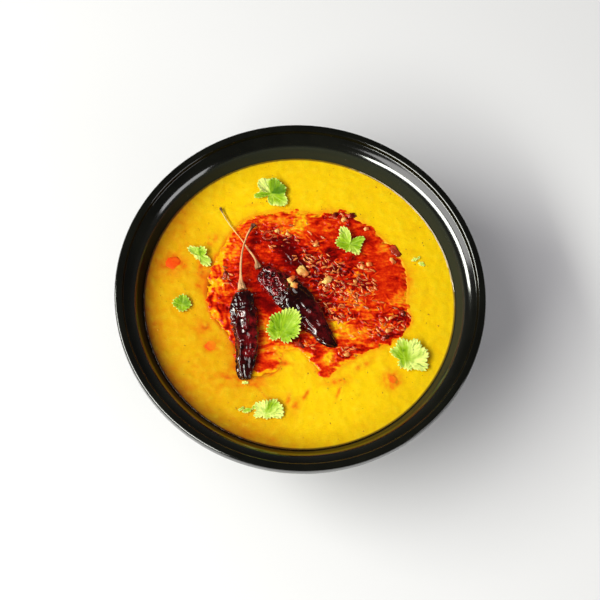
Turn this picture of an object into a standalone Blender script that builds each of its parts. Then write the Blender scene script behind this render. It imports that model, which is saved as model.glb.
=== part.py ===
"""Dal in a round black stoneware bowl: thick lentil soup with a pool of red chilli oil, two dried
red chillies with their stems crossed, and coriander leaflets.

Frame: metres, +Z up. The origin is the centre of the bowl's foot, on the surface it stands on.
+Y runs from the tips of the chillies towards their stems. All sizes here are in millimetres, and
MM turns them into metres.
"""

import math
from collections import namedtuple

import bmesh
import bpy
from mathutils import Vector, geometry

MM = 0.001

# ---------------------------------------------------------------- driving dimensions
RIM_RADIUS = 100.0
BOWL_HEIGHT = 66.0
SOUP_DEPTH = 13.3  # from the top of the rim down to the dal
SOUP_LEVEL = BOWL_HEIGHT - SOUP_DEPTH
ROUND_SEGMENTS = 56
GAP = 0.3  # kept between pieces that touch

# the rim: a flat-topped lip, a step inside it, a sloping ledge, and a shoulder above the inner wall
LIP_INNER = 96.9  # where the flat top of the lip starts
LIP_ROUND = 1.1
BAND_LOW = BOWL_HEIGHT - 5.0
BAND_ROUND = 1.2
BAND_UNDERCUT = 3.5
LEDGE_OUTER = 94.8
LEDGE_SLOPE = 20.0  # degrees
LEDGE_HEIGHT = BOWL_HEIGHT - 4.2
WALL_TOP_RADIUS = 88.7
SHOULDER_ROUND = 2.1

# the body and the foot: (radius, height) handles shape the curve of the wall inside and outside
FLOOR_HEIGHT = 8.0
INNER_HANDLES = ((62.0, FLOOR_HEIGHT), (74.0, 32.0))
OUTER_TOP = (94.0, 57.5)
OUTER_HANDLES = ((80.0, 31.0), (70.0, 10.0))
UNDERSIDE_HEIGHT = 3.0
FOOT_OUTER = 51.0
FOOT_INNER = 45.0
FOOT_HEIGHT = 5.0
FOOT_ROUND = 0.9

# the dal climbs the wall a little, and a pool of chilli oil floats on it
EDGE_RISE = 0.6
EDGE_REACH = 1.8
OIL_PROUD = 0.3
OIL_THICKNESS = 1.5
OIL_TOP = SOUP_LEVEL + OIL_PROUD
OIL_OUTLINE = [
    (-34, 45), (-20, 52), (-6, 54), (8, 52), (23, 53.5), (35, 47), (48, 36), (57, 24), (60, 10),
    (59, -3), (61, -14), (50, -25), (36, -31), (24, -38), (14, -45), (7, -40), (0, -30), (-9, -31),
    (-13, -41), (-24, -45), (-35, -41), (-38, -24), (-50, -6), (-51, 12), (-44, 29),
]

# dried chillies: stations along the pod from its stem end to its tip, with the width and thickness
# there and the height of the centre line above the dal
PodStation = namedtuple("PodStation", "x y width thickness height")
LEFT_POD = [
    PodStation(-31.7, 3.6, 9.6, 6.6, 2.2),
    PodStation(-31.4, 2.0, 13.0, 8.8, 1.9),
    PodStation(-30.9, -3.7, 15.6, 10.6, 1.6),
    PodStation(-30.6, -11.0, 16.8, 11.2, 1.5),
    PodStation(-29.8, -19.0, 16.4, 10.8, 1.4),
    PodStation(-29.1, -26.5, 15.2, 10.0, 1.3),
    PodStation(-29.7, -33.5, 13.4, 9.0, 1.1),
    PodStation(-30.1, -40.5, 11.4, 7.8, 0.9),
    PodStation(-29.9, -44.6, 8.6, 5.8, 0.8),
    PodStation(-29.9, -46.0, 5.6, 3.8, 0.8),
]
RIGHT_POD = [
    PodStation(-21.3, 15.6, 9.0, 6.0, 2.2),
    PodStation(-18.2, 13.3, 14.0, 8.4, 2.0),
    PodStation(-11.0, 8.0, 18.0, 10.2, 1.8),
    PodStation(-5.2, 2.3, 19.6, 10.8, 1.8),
    PodStation(-0.2, -3.8, 20.2, 11.0, 1.8),
    PodStation(4.7, -10.2, 18.2, 10.4, 1.6),
    PodStation(9.2, -16.8, 14.4, 8.8, 1.4),
    PodStation(13.4, -22.3, 10.2, 6.6, 1.1),
    PodStation(16.6, -25.4, 6.2, 4.4, 0.9),
    PodStation(19.0, -27.4, 2.0, 1.8, 0.8),
]
POD_SIDES = 16
FOLDS = 4  # folds around a pod, running along it
FOLD_DEPTH = 0.15  # as a share of the radius
FOLD_TWIST = 9.0
FOLD_SWAY = 3.0

# stems: stations from the calyx to the cut end, with the height above the dal and the radius
StemStation = namedtuple("StemStation", "x y height radius")
LEFT_STEM = [
    StemStation(-31.8, 4.6, 3.3, 2.6),
    StemStation(-32.0, 6.2, 3.3, 1.5),
    StemStation(-32.3, 11.0, 4.0, 0.95),
    StemStation(-32.1, 20.0, 4.9, 0.8),
    StemStation(-31.2, 27.2, 5.0, 0.65),
    StemStation(-28.6, 36.0, 4.3, 0.7),
    StemStation(-24.8, 43.4, 2.8, 1.2),
]
RIGHT_STEM = [
    StemStation(-22.5, 17.2, 2.9, 2.0),
    StemStation(-23.0, 18.8, 2.9, 1.6),
    StemStation(-24.1, 22.4, 2.7, 0.85),
    StemStation(-28.7, 30.0, 1.9, 0.6),
    StemStation(-32.0, 35.2, 1.6, 0.55),
    StemStation(-38.0, 43.6, 1.4, 0.55),
    StemStation(-41.6, 49.8, 1.5, 1.0),
    StemStation(-43.2, 54.2, 1.5, 0.8),
]
STEM_SIDES = 8
CALYX_STATIONS = 3  # how many of them may dip into the oil

# coriander leaflets: each grows from its centre in lobes. A lobe points in a direction (degrees
# from +X), reaches this far, falls to half its reach at breadth (degrees) to either side, and
# lifts its tip by this much. bed is the height of the leaflet's lowest point.
Lobe = namedtuple("Lobe", "direction reach breadth lift")
Leaf = namedtuple("Leaf", "x y bed lobes")
DAL_BED = SOUP_LEVEL + GAP
OIL_BED = OIL_TOP + GAP
CHILLI_BED = OIL_TOP + 1.9
LEAVES = {
    "leaf_top": Leaf(-15.3, 63.3, DAL_BED, [
        Lobe(70, 8.8, 48, 2.6), Lobe(18, 9.2, 44, 1.8), Lobe(-38, 11.2, 32, 0.9), Lobe(-78, 7.2, 36, 0.5),
        Lobe(-168, 9.6, 21, 0.4), Lobe(140, 9.4, 33, 3.2),
    ]),
    "leaf_upper_right": Leaf(27.7, 32.2, OIL_BED, [
        Lobe(112, 11.0, 32, 2.4), Lobe(172, 7.6, 44, 0.6), Lobe(20, 9.2, 30, 2.0), Lobe(-14, 7.2, 36, 1.0),
        Lobe(-50, 8.8, 36, 1.2), Lobe(-112, 6.0, 60, 0.2),
    ]),
    "leaf_upper_left": Leaf(-54.2, 25.5, OIL_BED, [
        Lobe(146, 8.0, 32, 1.6), Lobe(104, 4.6, 44, 1.8), Lobe(62, 5.0, 64, 2.2), Lobe(-50, 8.0, 44, 0.6),
        Lobe(-158, 3.6, 70, 0.2),
    ]),
    "leaf_left": Leaf(-64.2, -2.6, DAL_BED, [
        Lobe(172, 5.2, 70, 1.0), Lobe(75, 5.0, 70, 1.7), Lobe(-10, 5.2, 70, 0.9), Lobe(-88, 4.8, 70, 0.6),
    ]),
    "leaf_centre": Leaf(-10.8, -18.8, CHILLI_BED, [
        Lobe(47, 13.0, 56, 5.6), Lobe(118, 9.2, 51, 3.0), Lobe(180, 8.0, 46, 0.8),
        Lobe(-136, 7.6, 33, 0.0), Lobe(-62, 8.2, 41, 0.4), Lobe(-14, 10.2, 46, 2.6),
    ]),
    "leaf_lower_right": Leaf(57.0, -35.0, OIL_BED, [
        Lobe(108, 12.2, 30, 1.4), Lobe(148, 10.6, 28, 0.6), Lobe(60, 11.8, 24, 2.6), Lobe(18, 12.0, 44, 1.8),
        Lobe(-26, 12.0, 31, 0.4), Lobe(-80, 6.4, 51, 0.2), Lobe(-140, 6.2, 44, 0.2),
    ]),
    "leaf_bottom": Leaf(-18.8, -63.3, DAL_BED, [
        Lobe(152, 7.4, 38, 1.4), Lobe(-156, 7.6, 31, 0.4), Lobe(46, 7.6, 38, 2.2), Lobe(10, 8.4, 34, 1.4),
        Lobe(-20, 9.0, 33, 0.8), Lobe(-88, 4.8, 70, 0.2), Lobe(104, 5.4, 38, 2.6),
    ]),
}
LEAF_THICKNESS = 0.6
LEAF_POINTS = 44
LOBE_BLEND = 5  # higher makes the notches between lobes sharper
TOOTH_DEPTH = 0.75
CREASE_DEPTH = 0.5


# ---------------------------------------------------------------- scene, materials and mesh helpers
def clear_scene():
    for item in list(bpy.data.objects):
        bpy.data.objects.remove(item, do_unlink=True)


def material(name, colour, roughness, metallic=0.0):
    made = bpy.data.materials.new(name)
    made.use_nodes = True
    shader = made.node_tree.nodes["Principled BSDF"]
    shader.inputs["Base Color"].default_value = (*colour, 1.0)
    shader.inputs["Roughness"].default_value = roughness
    shader.inputs["Metallic"].default_value = metallic
    made.diffuse_color = (*colour, 1.0)
    return made


def finished(tool, name, finish, smooth_angle):
    """Turns a bmesh in metres into a named object with a material and smooth shading."""
    bmesh.ops.recalc_face_normals(tool, faces=tool.faces)
    mesh = bpy.data.meshes.new(name)
    tool.to_mesh(mesh)
    tool.free()
    mesh.shade_smooth()
    mesh.set_sharp_from_angle(angle=math.radians(smooth_angle))
    if finish is not None:
        mesh.materials.append(finish)
    made = bpy.data.objects.new(name, mesh)
    bpy.context.scene.collection.objects.link(made)
    return made


def loop_through(tool, points):
    """A closed loop of edges through points in millimetres."""
    corners = [tool.verts.new(Vector(point) * MM) for point in points]
    return [tool.edges.new((corners[k - 1], corners[k])) for k in range(len(corners))]


def turned(name, profile, finish, smooth_angle):
    """A solid of revolution. The profile is (radius, height) points that start and end on the axis."""
    tool = bmesh.new()
    corners = [tool.verts.new(Vector((radius, 0.0, height)) * MM) for radius, height in profile]
    edges = [tool.edges.new(pair) for pair in zip(corners, corners[1:])]
    turn = {"axis": (0, 0, 1), "cent": (0, 0, 0), "angle": 2 * math.pi}
    bmesh.ops.spin(tool, geom=edges, steps=ROUND_SEGMENTS, use_merge=True, **turn)
    bmesh.ops.remove_doubles(tool, verts=tool.verts, dist=0.01 * MM)
    return finished(tool, name, finish, smooth_angle)


def lofted(name, rings, finish=None):
    """One closed body through rings of points, with a flat face at each end."""
    tool = bmesh.new()
    loops = [loop_through(tool, ring) for ring in rings]
    for low, high in zip(loops, loops[1:]):
        bmesh.ops.bridge_loops(tool, edges=low + high)
    bmesh.ops.holes_fill(tool, edges=loops[0] + loops[-1], sides=0)
    return finished(tool, name, finish, 60.0)


def slab(name, outline, low, high, finish=None):
    """An outline of (x, y) points, extruded between two heights."""
    tool = bmesh.new()
    loop_through(tool, [(x, y, low) for x, y in outline])
    face = bmesh.ops.contextual_create(tool, geom=tool.edges)["faces"]
    grown = bmesh.ops.extrude_face_region(tool, geom=face)["geom"]
    raised = [part for part in grown if isinstance(part, bmesh.types.BMVert)]
    bmesh.ops.translate(tool, verts=raised, vec=(0, 0, (high - low) * MM))
    return finished(tool, name, finish, 30.0)


def as_cutter(made):
    made.hide_render = True
    made.display_type = "WIRE"
    return made


def cut(target, cutter):
    step = target.modifiers.new("cut_" + cutter.name, "BOOLEAN")
    step.operation = "DIFFERENCE"
    step.solver = "EXACT"
    step.object = cutter


# ---------------------------------------------------------------- curves
def bezier(start, handle_a, handle_b, end, count):
    """count + 1 points of a cubic curve in the profile plane, both ends included."""
    corners = [Vector((*point, 0)) for point in (start, handle_a, handle_b, end)]
    return [(p.x, p.y) for p in geometry.interpolate_bezier(*corners, count + 1)]


def arc(centre, radius, start, end, count):
    """count + 1 points of a round corner, with its angles in degrees."""
    made = []
    for i in range(count + 1):
        angle = math.radians(start + (end - start) * i / count)
        made.append((centre[0] + radius * math.cos(angle), centre[1] + radius * math.sin(angle)))
    return made


def through(points, steps, closed=False):
    """A smooth Catmull-Rom curve through the points, with this many steps in each stretch."""
    knots = [Vector(point) for point in points]
    last = len(knots) - 1
    made = []
    for i in range(len(knots) if closed else last):
        if closed:
            a, b, c, d = (knots[(i + k) % len(knots)] for k in (-1, 0, 1, 2))
        else:
            a, b, c, d = (knots[min(max(i + k, 0), last)] for k in (-1, 0, 1, 2))
        for step in range(steps):
            t = step / steps
            made.append(
                b + (c - a) * (t / 2) + (a * 2 - b * 5 + c * 4 - d) * (t**2 / 2)
                + (b * 3 - a - c * 3 + d) * (t**3 / 2)
            )
    if not closed:
        made.append(knots[-1])
    return made


# ---------------------------------------------------------------- the bowl and what fills it
def inner_wall(count, inset=0.0):
    """The inside of the bowl, from the middle of its floor up to the shoulder, moved inwards by inset."""
    top = (WALL_TOP_RADIUS, LEDGE_HEIGHT - SHOULDER_ROUND)
    curve = bezier((0.0, FLOOR_HEIGHT), *INNER_HANDLES, top, count)
    moved = []
    for i, (radius, height) in enumerate(curve):
        before = curve[max(i - 1, 0)]
        after = curve[min(i + 1, count)]
        along = Vector((after[0] - before[0], after[1] - before[1])).normalized()
        moved.append((max(radius - inset * along.y, 0.0), height + inset * along.x))
    return moved


def rim_profile():
    """From the shoulder across the ledge, over the lip and down its outer band."""
    corner = (WALL_TOP_RADIUS + SHOULDER_ROUND, LEDGE_HEIGHT - SHOULDER_ROUND)
    shoulder = arc(corner, SHOULDER_ROUND, 180, 90 + LEDGE_SLOPE, 3)[1:]
    start_radius, start_height = shoulder[-1]
    rise = (LEDGE_OUTER - start_radius) * math.tan(math.radians(LEDGE_SLOPE))
    ledge = [(LEDGE_OUTER, start_height + rise)]
    lip = arc((LIP_INNER, BOWL_HEIGHT - LIP_ROUND), LIP_ROUND, 145, 90, 1)
    band = arc((RIM_RADIUS - BAND_ROUND, BOWL_HEIGHT - BAND_ROUND), BAND_ROUND, 90, 0, 2)
    under = arc((RIM_RADIUS - BAND_ROUND, BAND_LOW), BAND_ROUND, 0, -60, 1)
    return shoulder + ledge + lip + band + under + [(RIM_RADIUS - BAND_UNDERCUT, BAND_LOW - 2 * BAND_ROUND)]


def body_profile():
    """The outside from under the rim's band down to the foot, and the recess under the bowl."""
    flank = bezier(OUTER_TOP, *OUTER_HANDLES, (FOOT_OUTER + 2 * FOOT_ROUND, FOOT_HEIGHT + FOOT_ROUND), 6)
    foot = [
        (FOOT_OUTER, FOOT_HEIGHT - FOOT_ROUND),
        (FOOT_OUTER, FOOT_ROUND),
        (FOOT_OUTER - FOOT_ROUND, 0.0),
        (FOOT_INNER + FOOT_ROUND, 0.0),
        (FOOT_INNER, FOOT_ROUND),
        (FOOT_INNER - FOOT_ROUND, UNDERSIDE_HEIGHT),
        (0.0, UNDERSIDE_HEIGHT),
    ]
    return flank + foot


def build_bowl():
    glaze = material("black_glaze", (0.012, 0.012, 0.010), 0.18)
    return turned("bowl", inner_wall(7) + rim_profile() + body_profile(), glaze, smooth_angle=40.0)


def wall_radius_at(height):
    """The bowl's inner radius at a height, GAP inside the wall."""
    wall = inner_wall(7, GAP)
    for low, high in zip(wall, wall[1:]):
        if low[1] <= height <= high[1]:
            share = (height - low[1]) / (high[1] - low[1])
            return low[0] + share * (high[0] - low[0])
    raise ValueError("this height is not inside the bowl")


def build_dal():
    """Fills the bowl up to SOUP_LEVEL, with a thin edge that climbs the wall."""
    lentils = material("dal_yellow", (0.95, 0.62, 0.01), 0.3)
    edge = wall_radius_at(SOUP_LEVEL + EDGE_RISE)
    below = [(radius, height) for radius, height in inner_wall(7, GAP) if height < SOUP_LEVEL - EDGE_REACH]
    surface = [
        (edge, SOUP_LEVEL + EDGE_RISE),
        (edge - EDGE_REACH / 2, SOUP_LEVEL + EDGE_RISE / 4),
        (edge - EDGE_REACH, SOUP_LEVEL),
        (0.0, SOUP_LEVEL),
    ]
    return turned("dal", below + surface, lentils, smooth_angle=50.0)


def oil_outline(grow):
    """The edge of the oil pool, pushed outwards by grow."""
    outline = through(OIL_OUTLINE, 2, closed=True)
    pushed = []
    for i, point in enumerate(outline):
        along = (outline[(i + 1) % len(outline)] - outline[i - 1]).normalized()
        pushed.append(point + Vector((-along.y, along.x)) * grow)
    return pushed


def build_oil():
    chilli_oil = material("chilli_oil", (0.62, 0.03, 0.0), 0.12)
    return slab("tadka_oil", oil_outline(0.0), OIL_TOP - OIL_THICKNESS, OIL_TOP, chilli_oil)


def oil_pocket():
    return as_cutter(slab("oil_pocket", oil_outline(GAP), OIL_TOP - OIL_THICKNESS - GAP, OIL_TOP + GAP))


# ---------------------------------------------------------------- dried chillies
def frame_along(path, i):
    """The sideways and upward directions at a point of a path that runs mostly level."""
    along = (path[min(i + 1, len(path) - 1)] - path[max(i - 1, 0)]).normalized()
    side = along.cross(Vector((0, 0, 1))).normalized()
    return side, side.cross(along).normalized()


def pod_rings(stations, grow, fold_depth):
    """Rings around a pod: an ellipse at each place, with folds that run along it and wind round it."""
    steps = 2
    spine = through([(s.x, s.y, SOUP_LEVEL + s.height) for s in stations], steps)
    sizes = through([(s.width / 2, s.thickness / 2) for s in stations], steps)
    rings = []
    for i, centre in enumerate(spine):
        side, up = frame_along(spine, i)
        along = i / (len(spine) - 1)
        ring = []
        for k in range(POD_SIDES):
            angle = 2 * math.pi * k / POD_SIDES
            phase = FOLDS * angle + FOLD_SWAY * math.sin(FOLDS * along) + FOLD_TWIST * along
            shrink = 1 - fold_depth * (0.5 + 0.5 * math.sin(phase))
            across = side * math.cos(angle) * (sizes[i].x * shrink + grow)
            rise = up * math.sin(angle) * (sizes[i].y * shrink + grow)
            ring.append(centre + across + rise)
        rings.append(ring)
    return rings


def stem_rings(stations, grow):
    """Rings around a thin round stalk that flares into the calyx at the pod."""
    steps = 2
    path = through([(s.x, s.y, SOUP_LEVEL + s.height) for s in stations], steps)
    radii = through([(s.radius, 0) for s in stations], steps)
    rings = []
    for i, centre in enumerate(path):
        side, up = frame_along(path, i)
        ring = []
        for k in range(STEM_SIDES):
            angle = 2 * math.pi * k / STEM_SIDES
            ring.append(centre + (side * math.cos(angle) + up * math.sin(angle)) * (radii[i].x + grow))
        rings.append(ring)
    return rings


def hollow(name, rings):
    """A cutter along rings that are GAP too large, with its ends pushed out as well."""
    for end, neighbour in ((0, 1), (-1, -2)):
        here = sum(rings[end], Vector()) / len(rings[end])
        there = sum(rings[neighbour], Vector()) / len(rings[neighbour])
        push = (here - there).normalized() * 2 * GAP
        rings[end] = [point + push for point in rings[end]]
    return as_cutter(lofted(name, rings))


def build_chillies():
    """Both pods and both stems. Returns the hollows that they press into the dal and the oil."""
    dried_skin = material("dried_chilli_skin", (0.045, 0.002, 0.004), 0.22)
    straw = material("dried_stem", (0.50, 0.26, 0.07), 0.55)
    clearance = GAP + 0.1
    hollows = []
    for name, pod, stem in (("chilli_left", LEFT_POD, LEFT_STEM), ("chilli_right", RIGHT_POD, RIGHT_STEM)):
        lofted(name, pod_rings(pod, 0.0, FOLD_DEPTH), dried_skin)
        lofted(name + "_stem", stem_rings(stem, 0.0), straw)
        hollows.append(hollow(name + "_hollow", pod_rings(pod, clearance, 0.0)))
        hollows.append(hollow(name + "_calyx_hollow", stem_rings(stem[:CALYX_STATIONS], clearance)))
    return hollows


# ---------------------------------------------------------------- coriander leaflets
def lobe_weights(lobes, angle):
    """How strongly each lobe reaches in a direction: its reach there, to the power LOBE_BLEND."""
    weights = []
    for lobe in lobes:
        apart = math.degrees(angle) - lobe.direction
        turn = abs((apart + 180) % 360 - 180) / lobe.breadth
        weights.append((lobe.reach * 0.5 ** (turn**2)) ** LOBE_BLEND)
    return weights


def leaf_edge(lobes, angle):
    """The distance from the leaflet's centre to its edge in a direction, without teeth."""
    return sum(lobe_weights(lobes, angle)) ** (1 / LOBE_BLEND)


def leaf_lift(lobes, angle):
    """The height of the leaflet's edge in a direction: the lift of the lobes there, less the crease."""
    weights = lobe_weights(lobes, angle)
    lift = sum(weight * lobe.lift for weight, lobe in zip(weights, lobes)) / sum(weights)
    return lift - CREASE_DEPTH * (1 - max(weights) / sum(weights))


def build_leaf(name, leaf, finish):
    """A thin leaflet with a toothed edge, made as a sheet and given its thickness by Solidify."""
    outer = []
    inner = []
    for k in range(LEAF_POINTS):
        angle = 2 * math.pi * k / LEAF_POINTS
        reach = leaf_edge(leaf.lobes, angle) - (TOOTH_DEPTH if k % 2 else 0.0)
        lift = leaf_lift(leaf.lobes, angle)
        direction = Vector((math.cos(angle), math.sin(angle), 0))
        outer.append(direction * reach + Vector((0, 0, lift)))
        if k % 2 == 0:
            inner.append(direction * reach * 0.5 + Vector((0, 0, lift * 0.45)))
    low = min(point.z for point in outer + inner + [Vector()])
    place = Vector((leaf.x, leaf.y, leaf.bed + LEAF_THICKNESS / 2 - low))
    tool = bmesh.new()
    centre = tool.verts.new(place * MM)
    rim = [tool.verts.new((point + place) * MM) for point in outer]
    ring = [tool.verts.new((point + place) * MM) for point in inner]
    for k in range(len(ring)):
        after = (k + 1) % len(ring)
        tool.faces.new((centre, ring[k], ring[after]))
        tool.faces.new((ring[k], rim[2 * k], rim[2 * k + 1]))
        tool.faces.new((ring[k], rim[2 * k + 1], ring[after]))
        tool.faces.new((ring[after], rim[2 * k + 1], rim[2 * after]))
    made = finished(tool, name, finish, 50.0)
    thicken = made.modifiers.new("thickness", "SOLIDIFY")
    thicken.thickness = LEAF_THICKNESS * MM
    thicken.offset = 0.0
    return made


def build_leaves():
    green = material("coriander_green", (0.34, 0.52, 0.03), 0.45)
    for name, leaf in LEAVES.items():
        build_leaf(name, leaf, green)


def main():
    clear_scene()
    build_bowl()
    dal = build_dal()
    oil = build_oil()
    hollows = build_chillies()
    build_leaves()
    cut(dal, oil_pocket())
    for cutter in hollows:
        cut(dal, cutter)
        cut(oil, cutter)


main()
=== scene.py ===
"""Dal with a pool of chilli oil, two dried chillies and coriander, in a black stoneware bowl.

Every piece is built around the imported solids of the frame. Shapes are worked out in millimetres,
with the origin at the centre of the bowl's foot, and MM turns them into metres.
"""

import math
from collections import namedtuple

import bmesh
import bpy
import numpy as np
from bpy.props import FloatProperty, FloatVectorProperty, IntProperty, PointerProperty
from mathutils import Euler, Matrix, Vector, noise


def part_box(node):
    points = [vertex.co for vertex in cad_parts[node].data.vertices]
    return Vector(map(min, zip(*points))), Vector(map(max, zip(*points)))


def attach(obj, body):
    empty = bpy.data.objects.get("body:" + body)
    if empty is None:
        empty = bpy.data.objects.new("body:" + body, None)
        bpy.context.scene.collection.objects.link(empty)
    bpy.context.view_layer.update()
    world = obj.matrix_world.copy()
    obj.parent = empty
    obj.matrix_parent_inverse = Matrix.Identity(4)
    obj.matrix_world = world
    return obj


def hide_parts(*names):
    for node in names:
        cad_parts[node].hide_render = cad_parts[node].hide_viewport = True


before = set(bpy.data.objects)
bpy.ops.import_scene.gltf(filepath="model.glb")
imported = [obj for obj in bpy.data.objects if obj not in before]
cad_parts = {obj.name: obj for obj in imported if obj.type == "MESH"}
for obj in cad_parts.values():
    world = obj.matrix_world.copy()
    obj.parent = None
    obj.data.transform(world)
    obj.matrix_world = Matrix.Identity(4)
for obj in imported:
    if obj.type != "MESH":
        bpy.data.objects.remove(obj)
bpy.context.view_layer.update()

bl_info = {
    "name": "Dal in a bowl",
    "version": (1, 0, 0),
    "blender": (4, 5, 0),
    "location": "3D View > Sidebar > Dal",
    "description": "Builds dal with chilli oil, dried chillies and coriander in its bowl",
    "category": "Object",
}

MM = 0.001
BODY = "root"

# ---------------------------------------------------------------- sizes that come from the solids
BOWL_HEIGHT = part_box("bowl")[1].z / MM
RIM_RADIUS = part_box("bowl")[1].x / MM
EDGE_RISE = 0.6  # the dal climbs the wall by this much
DAL_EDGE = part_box("dal")[1].x / MM
SOUP_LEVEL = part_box("dal")[1].z / MM - EDGE_RISE
OIL_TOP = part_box("tadka_oil")[1].z / MM

# ---------------------------------------------------------------- the bowl's section
LIP_INNER = 96.9  # where the flat top of the lip starts
LIP_ROUND = 1.3
BAND_LOW = BOWL_HEIGHT - 5.0
BAND_ROUND = 1.2
BAND_UNDERCUT = 3.5
LEDGE_OUTER = 95.4
LEDGE_SLOPE = 20.0  # degrees
LEDGE_HEIGHT = BOWL_HEIGHT - 4.2
WALL_TOP_RADIUS = 88.7
SHOULDER_ROUND = 2.1
FLOOR_HEIGHT = 8.0
INNER_HANDLES = ((62.0, FLOOR_HEIGHT), (74.0, 32.0))
OUTER_TOP = (94.0, 57.5)
OUTER_HANDLES = ((80.0, 31.0), (70.0, 10.0))
UNDERSIDE_HEIGHT = 3.0
FOOT_OUTER = 51.0
FOOT_INNER = 45.0
FOOT_HEIGHT = 5.0
FOOT_ROUND = 0.9
RECESS_BEVEL = 0.8
WALL_STEPS = 28
WALL_GAP = 0.3  # between the dal and the wall
GLOSS_REACH = 4.0  # going up the wall, the gloss starts this far below LEDGE_HEIGHT
LIT_WALL_REACH = 2.6  # and the painted light on the wall starts to fade this far below it
OUTSIDE_GLOSS = 0.7

# ---------------------------------------------------------------- the dal's surface
EDGE_REACH = 1.8  # how far from the wall the dal starts to climb it
TROUGH_DEPTH = 1.9  # how far the dal is lowered under the oil
DAL_ROWS = 112
DAL_SIDES = 512
SPECK_REACH = 82.0

# ---------------------------------------------------------------- the oil pool
POOL_COLUMNS = (-55, 66)  # the grid that the pool's surface is cut from, in X and in Y
POOL_ROWS = (-50, 60)
POOL_SIDE = 1.1  # how far below the dal's level the pool's side ends
SHORE_DEPTH = 0.22  # how far below the dal's level the oil starts at its shore
OIL_OUTLINE = [
    (-34, 45), (-20, 52), (-6, 54), (8, 52), (23, 53.5), (35, 47), (48, 36), (57, 24), (60, 10),
    (59, -3), (61, -14), (50, -25), (36, -31), (24, -38), (14, -45), (7, -40), (0, -30), (-9, -31),
    (-13, -41), (-24, -45), (-35, -41), (-38, -24), (-50, -6), (-51, 12), (-44, 29),
]
# a patch has a centre, half-sizes along and across, a turn in degrees, and an amount.
# the first two lists say where the oil is thinner (below 0) or deeper (above 0) than elsewhere.
Patch = namedtuple("Patch", "x y long wide turn amount")
THIN_OIL = [
    Patch(-41, 36, 6, 5, 45, -0.26), Patch(-37, 27, 5, 5, 0, -0.18), Patch(-43, 21, 4, 4, 0, -0.18),
    Patch(-44, 8, 6, 4, 90, -0.24), Patch(-41, 1, 5, 3.5, 90, -0.18), Patch(-28, 47, 8, 3.5, 20, -0.10),
    Patch(-30, 40, 5, 4, 0, -0.20), Patch(-8, 46, 6, 5, 0, -0.24), Patch(0.5, 45, 8, 5.5, 90, -0.48),
    Patch(9, 40, 3, 3, 0, -0.15), Patch(30, -1, 5, 3, -30, -0.32), Patch(19, -15, 6, 3.5, -20, -0.30),
    Patch(26, -20, 9, 4, 10, -0.46), Patch(40, -1, 4, 3, 0, -0.26), Patch(53.5, 0, 4, 3, 30, -0.40),
    Patch(-8, -28.5, 7, 3, 5, -0.55), Patch(-1, -32, 6, 2.5, -15, -0.45), Patch(13, -35, 3, 2.5, 0, -0.35),
    Patch(-20, -18, 9, 3.5, 95, -0.36), Patch(9, 31, 5, 4, -30, -0.20), Patch(22, 24, 5, 3, -45, -0.22),
    Patch(36, -11, 5, 3, 20, -0.20), Patch(-16, -34, 7, 2.5, 10, -0.22), Patch(58, -1, 3, 5, 0, -0.25),
    Patch(16, -38, 8, 6, 0, -0.16), Patch(47, 30, 3, 6, 45, -0.15), Patch(8, 4, 5, 2.5, -45, -0.18),
    Patch(42, 24, 7, 7, 0, -0.06), Patch(16, 41, 4, 4, 0, -0.12), Patch(-17, 42, 4, 4, 0, -0.08),
]
DEEP_OIL = [
    Patch(-22.5, 20, 11, 4, 100, 0.22), Patch(-20.5, 2, 8, 4.5, 110, 0.30),
    Patch(-15, -5, 6, 4.5, -30, 0.28), Patch(10, 43, 8, 3.8, 95, 0.12), Patch(7.5, 35, 5, 4, 0, 0.14),
    Patch(-23, 36, 6, 4.5, 60, 0.30), Patch(-7, 33, 8, 5, -20, 0.30), Patch(-1, 26, 9, 5, -25, 0.28),
    Patch(-39, -19, 7, 2, -70, 0.12), Patch(-36.5, -31, 8, 1.6, -78, 0.16),
    Patch(0, -25, 6, 3.5, -30, 0.26), Patch(9, -32, 5, 3, 90, 0.24), Patch(11, -41, 4, 3.6, 0, 0.10),
    Patch(17, 28.5, 6, 4.5, 0, 0.34), Patch(22, 19, 7, 5, -30, 0.26), Patch(24, 12, 6, 4, 0, 0.26),
    Patch(-2, 19, 8, 5, -40, 0.36), Patch(-9, 28, 6, 3, -30, 0.36), Patch(12, 2.5, 7, 5, -50, 0.26),
    Patch(33, 8, 5, 4, 0, 0.28), Patch(16, -9, 5, 3, -20, 0.26), Patch(53, -12, 5, 4, 0, 0.30),
    Patch(47, -19, 5, 3, 0, 0.22), Patch(27, 50, 9, 2.5, -10, 0.22), Patch(34, 37, 6, 4.5, -45, 0.12),
    Patch(41, 33, 5, 4, -45, 0.08), Patch(8, 14, 9, 5, -45, 0.22), Patch(-49, 12, 10, 1.3, 92, 0.26),
    Patch(-46, -4, 6, 1.3, -55, 0.30), Patch(-43, 30, 5, 1.4, 60, 0.2), Patch(-38, 13, 5, 5, 0, 0.25),
    Patch(-21, -40, 5, 4, 0, 0.06), Patch(-14, 52, 7, 2, 3, 0.16),
]
# still, glossy stretches of the pool
STILL_OIL = [
    Patch(48, 8, 9, 12, 0, 1.0), Patch(44, 17, 7, 7, 0, 1.0), Patch(37, 35, 9, 5, -45, 1.0),
    Patch(-22, 14, 14, 5, 105, 1.0), Patch(-17, -3, 7, 6, 0, 1.0), Patch(9, 39, 9, 5, 95, 0.9),
    Patch(-17, -38, 6, 6, 0, 0.8), Patch(11, -38, 6, 3, 90, 0.8), Patch(-44, -8, 12, 3, -50, 0.8),
]
# where the pool's edge thins out slowly
LOOSE_EDGE = [
    Patch(-44, 20, 12, 30, 0, 1.0), Patch(-14, 52, 16, 8, 0, 0.15), Patch(-16, -40, 24, 12, 0, 0.9),
    Patch(22, -34, 16, 10, 0, 0.6),
]
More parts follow.
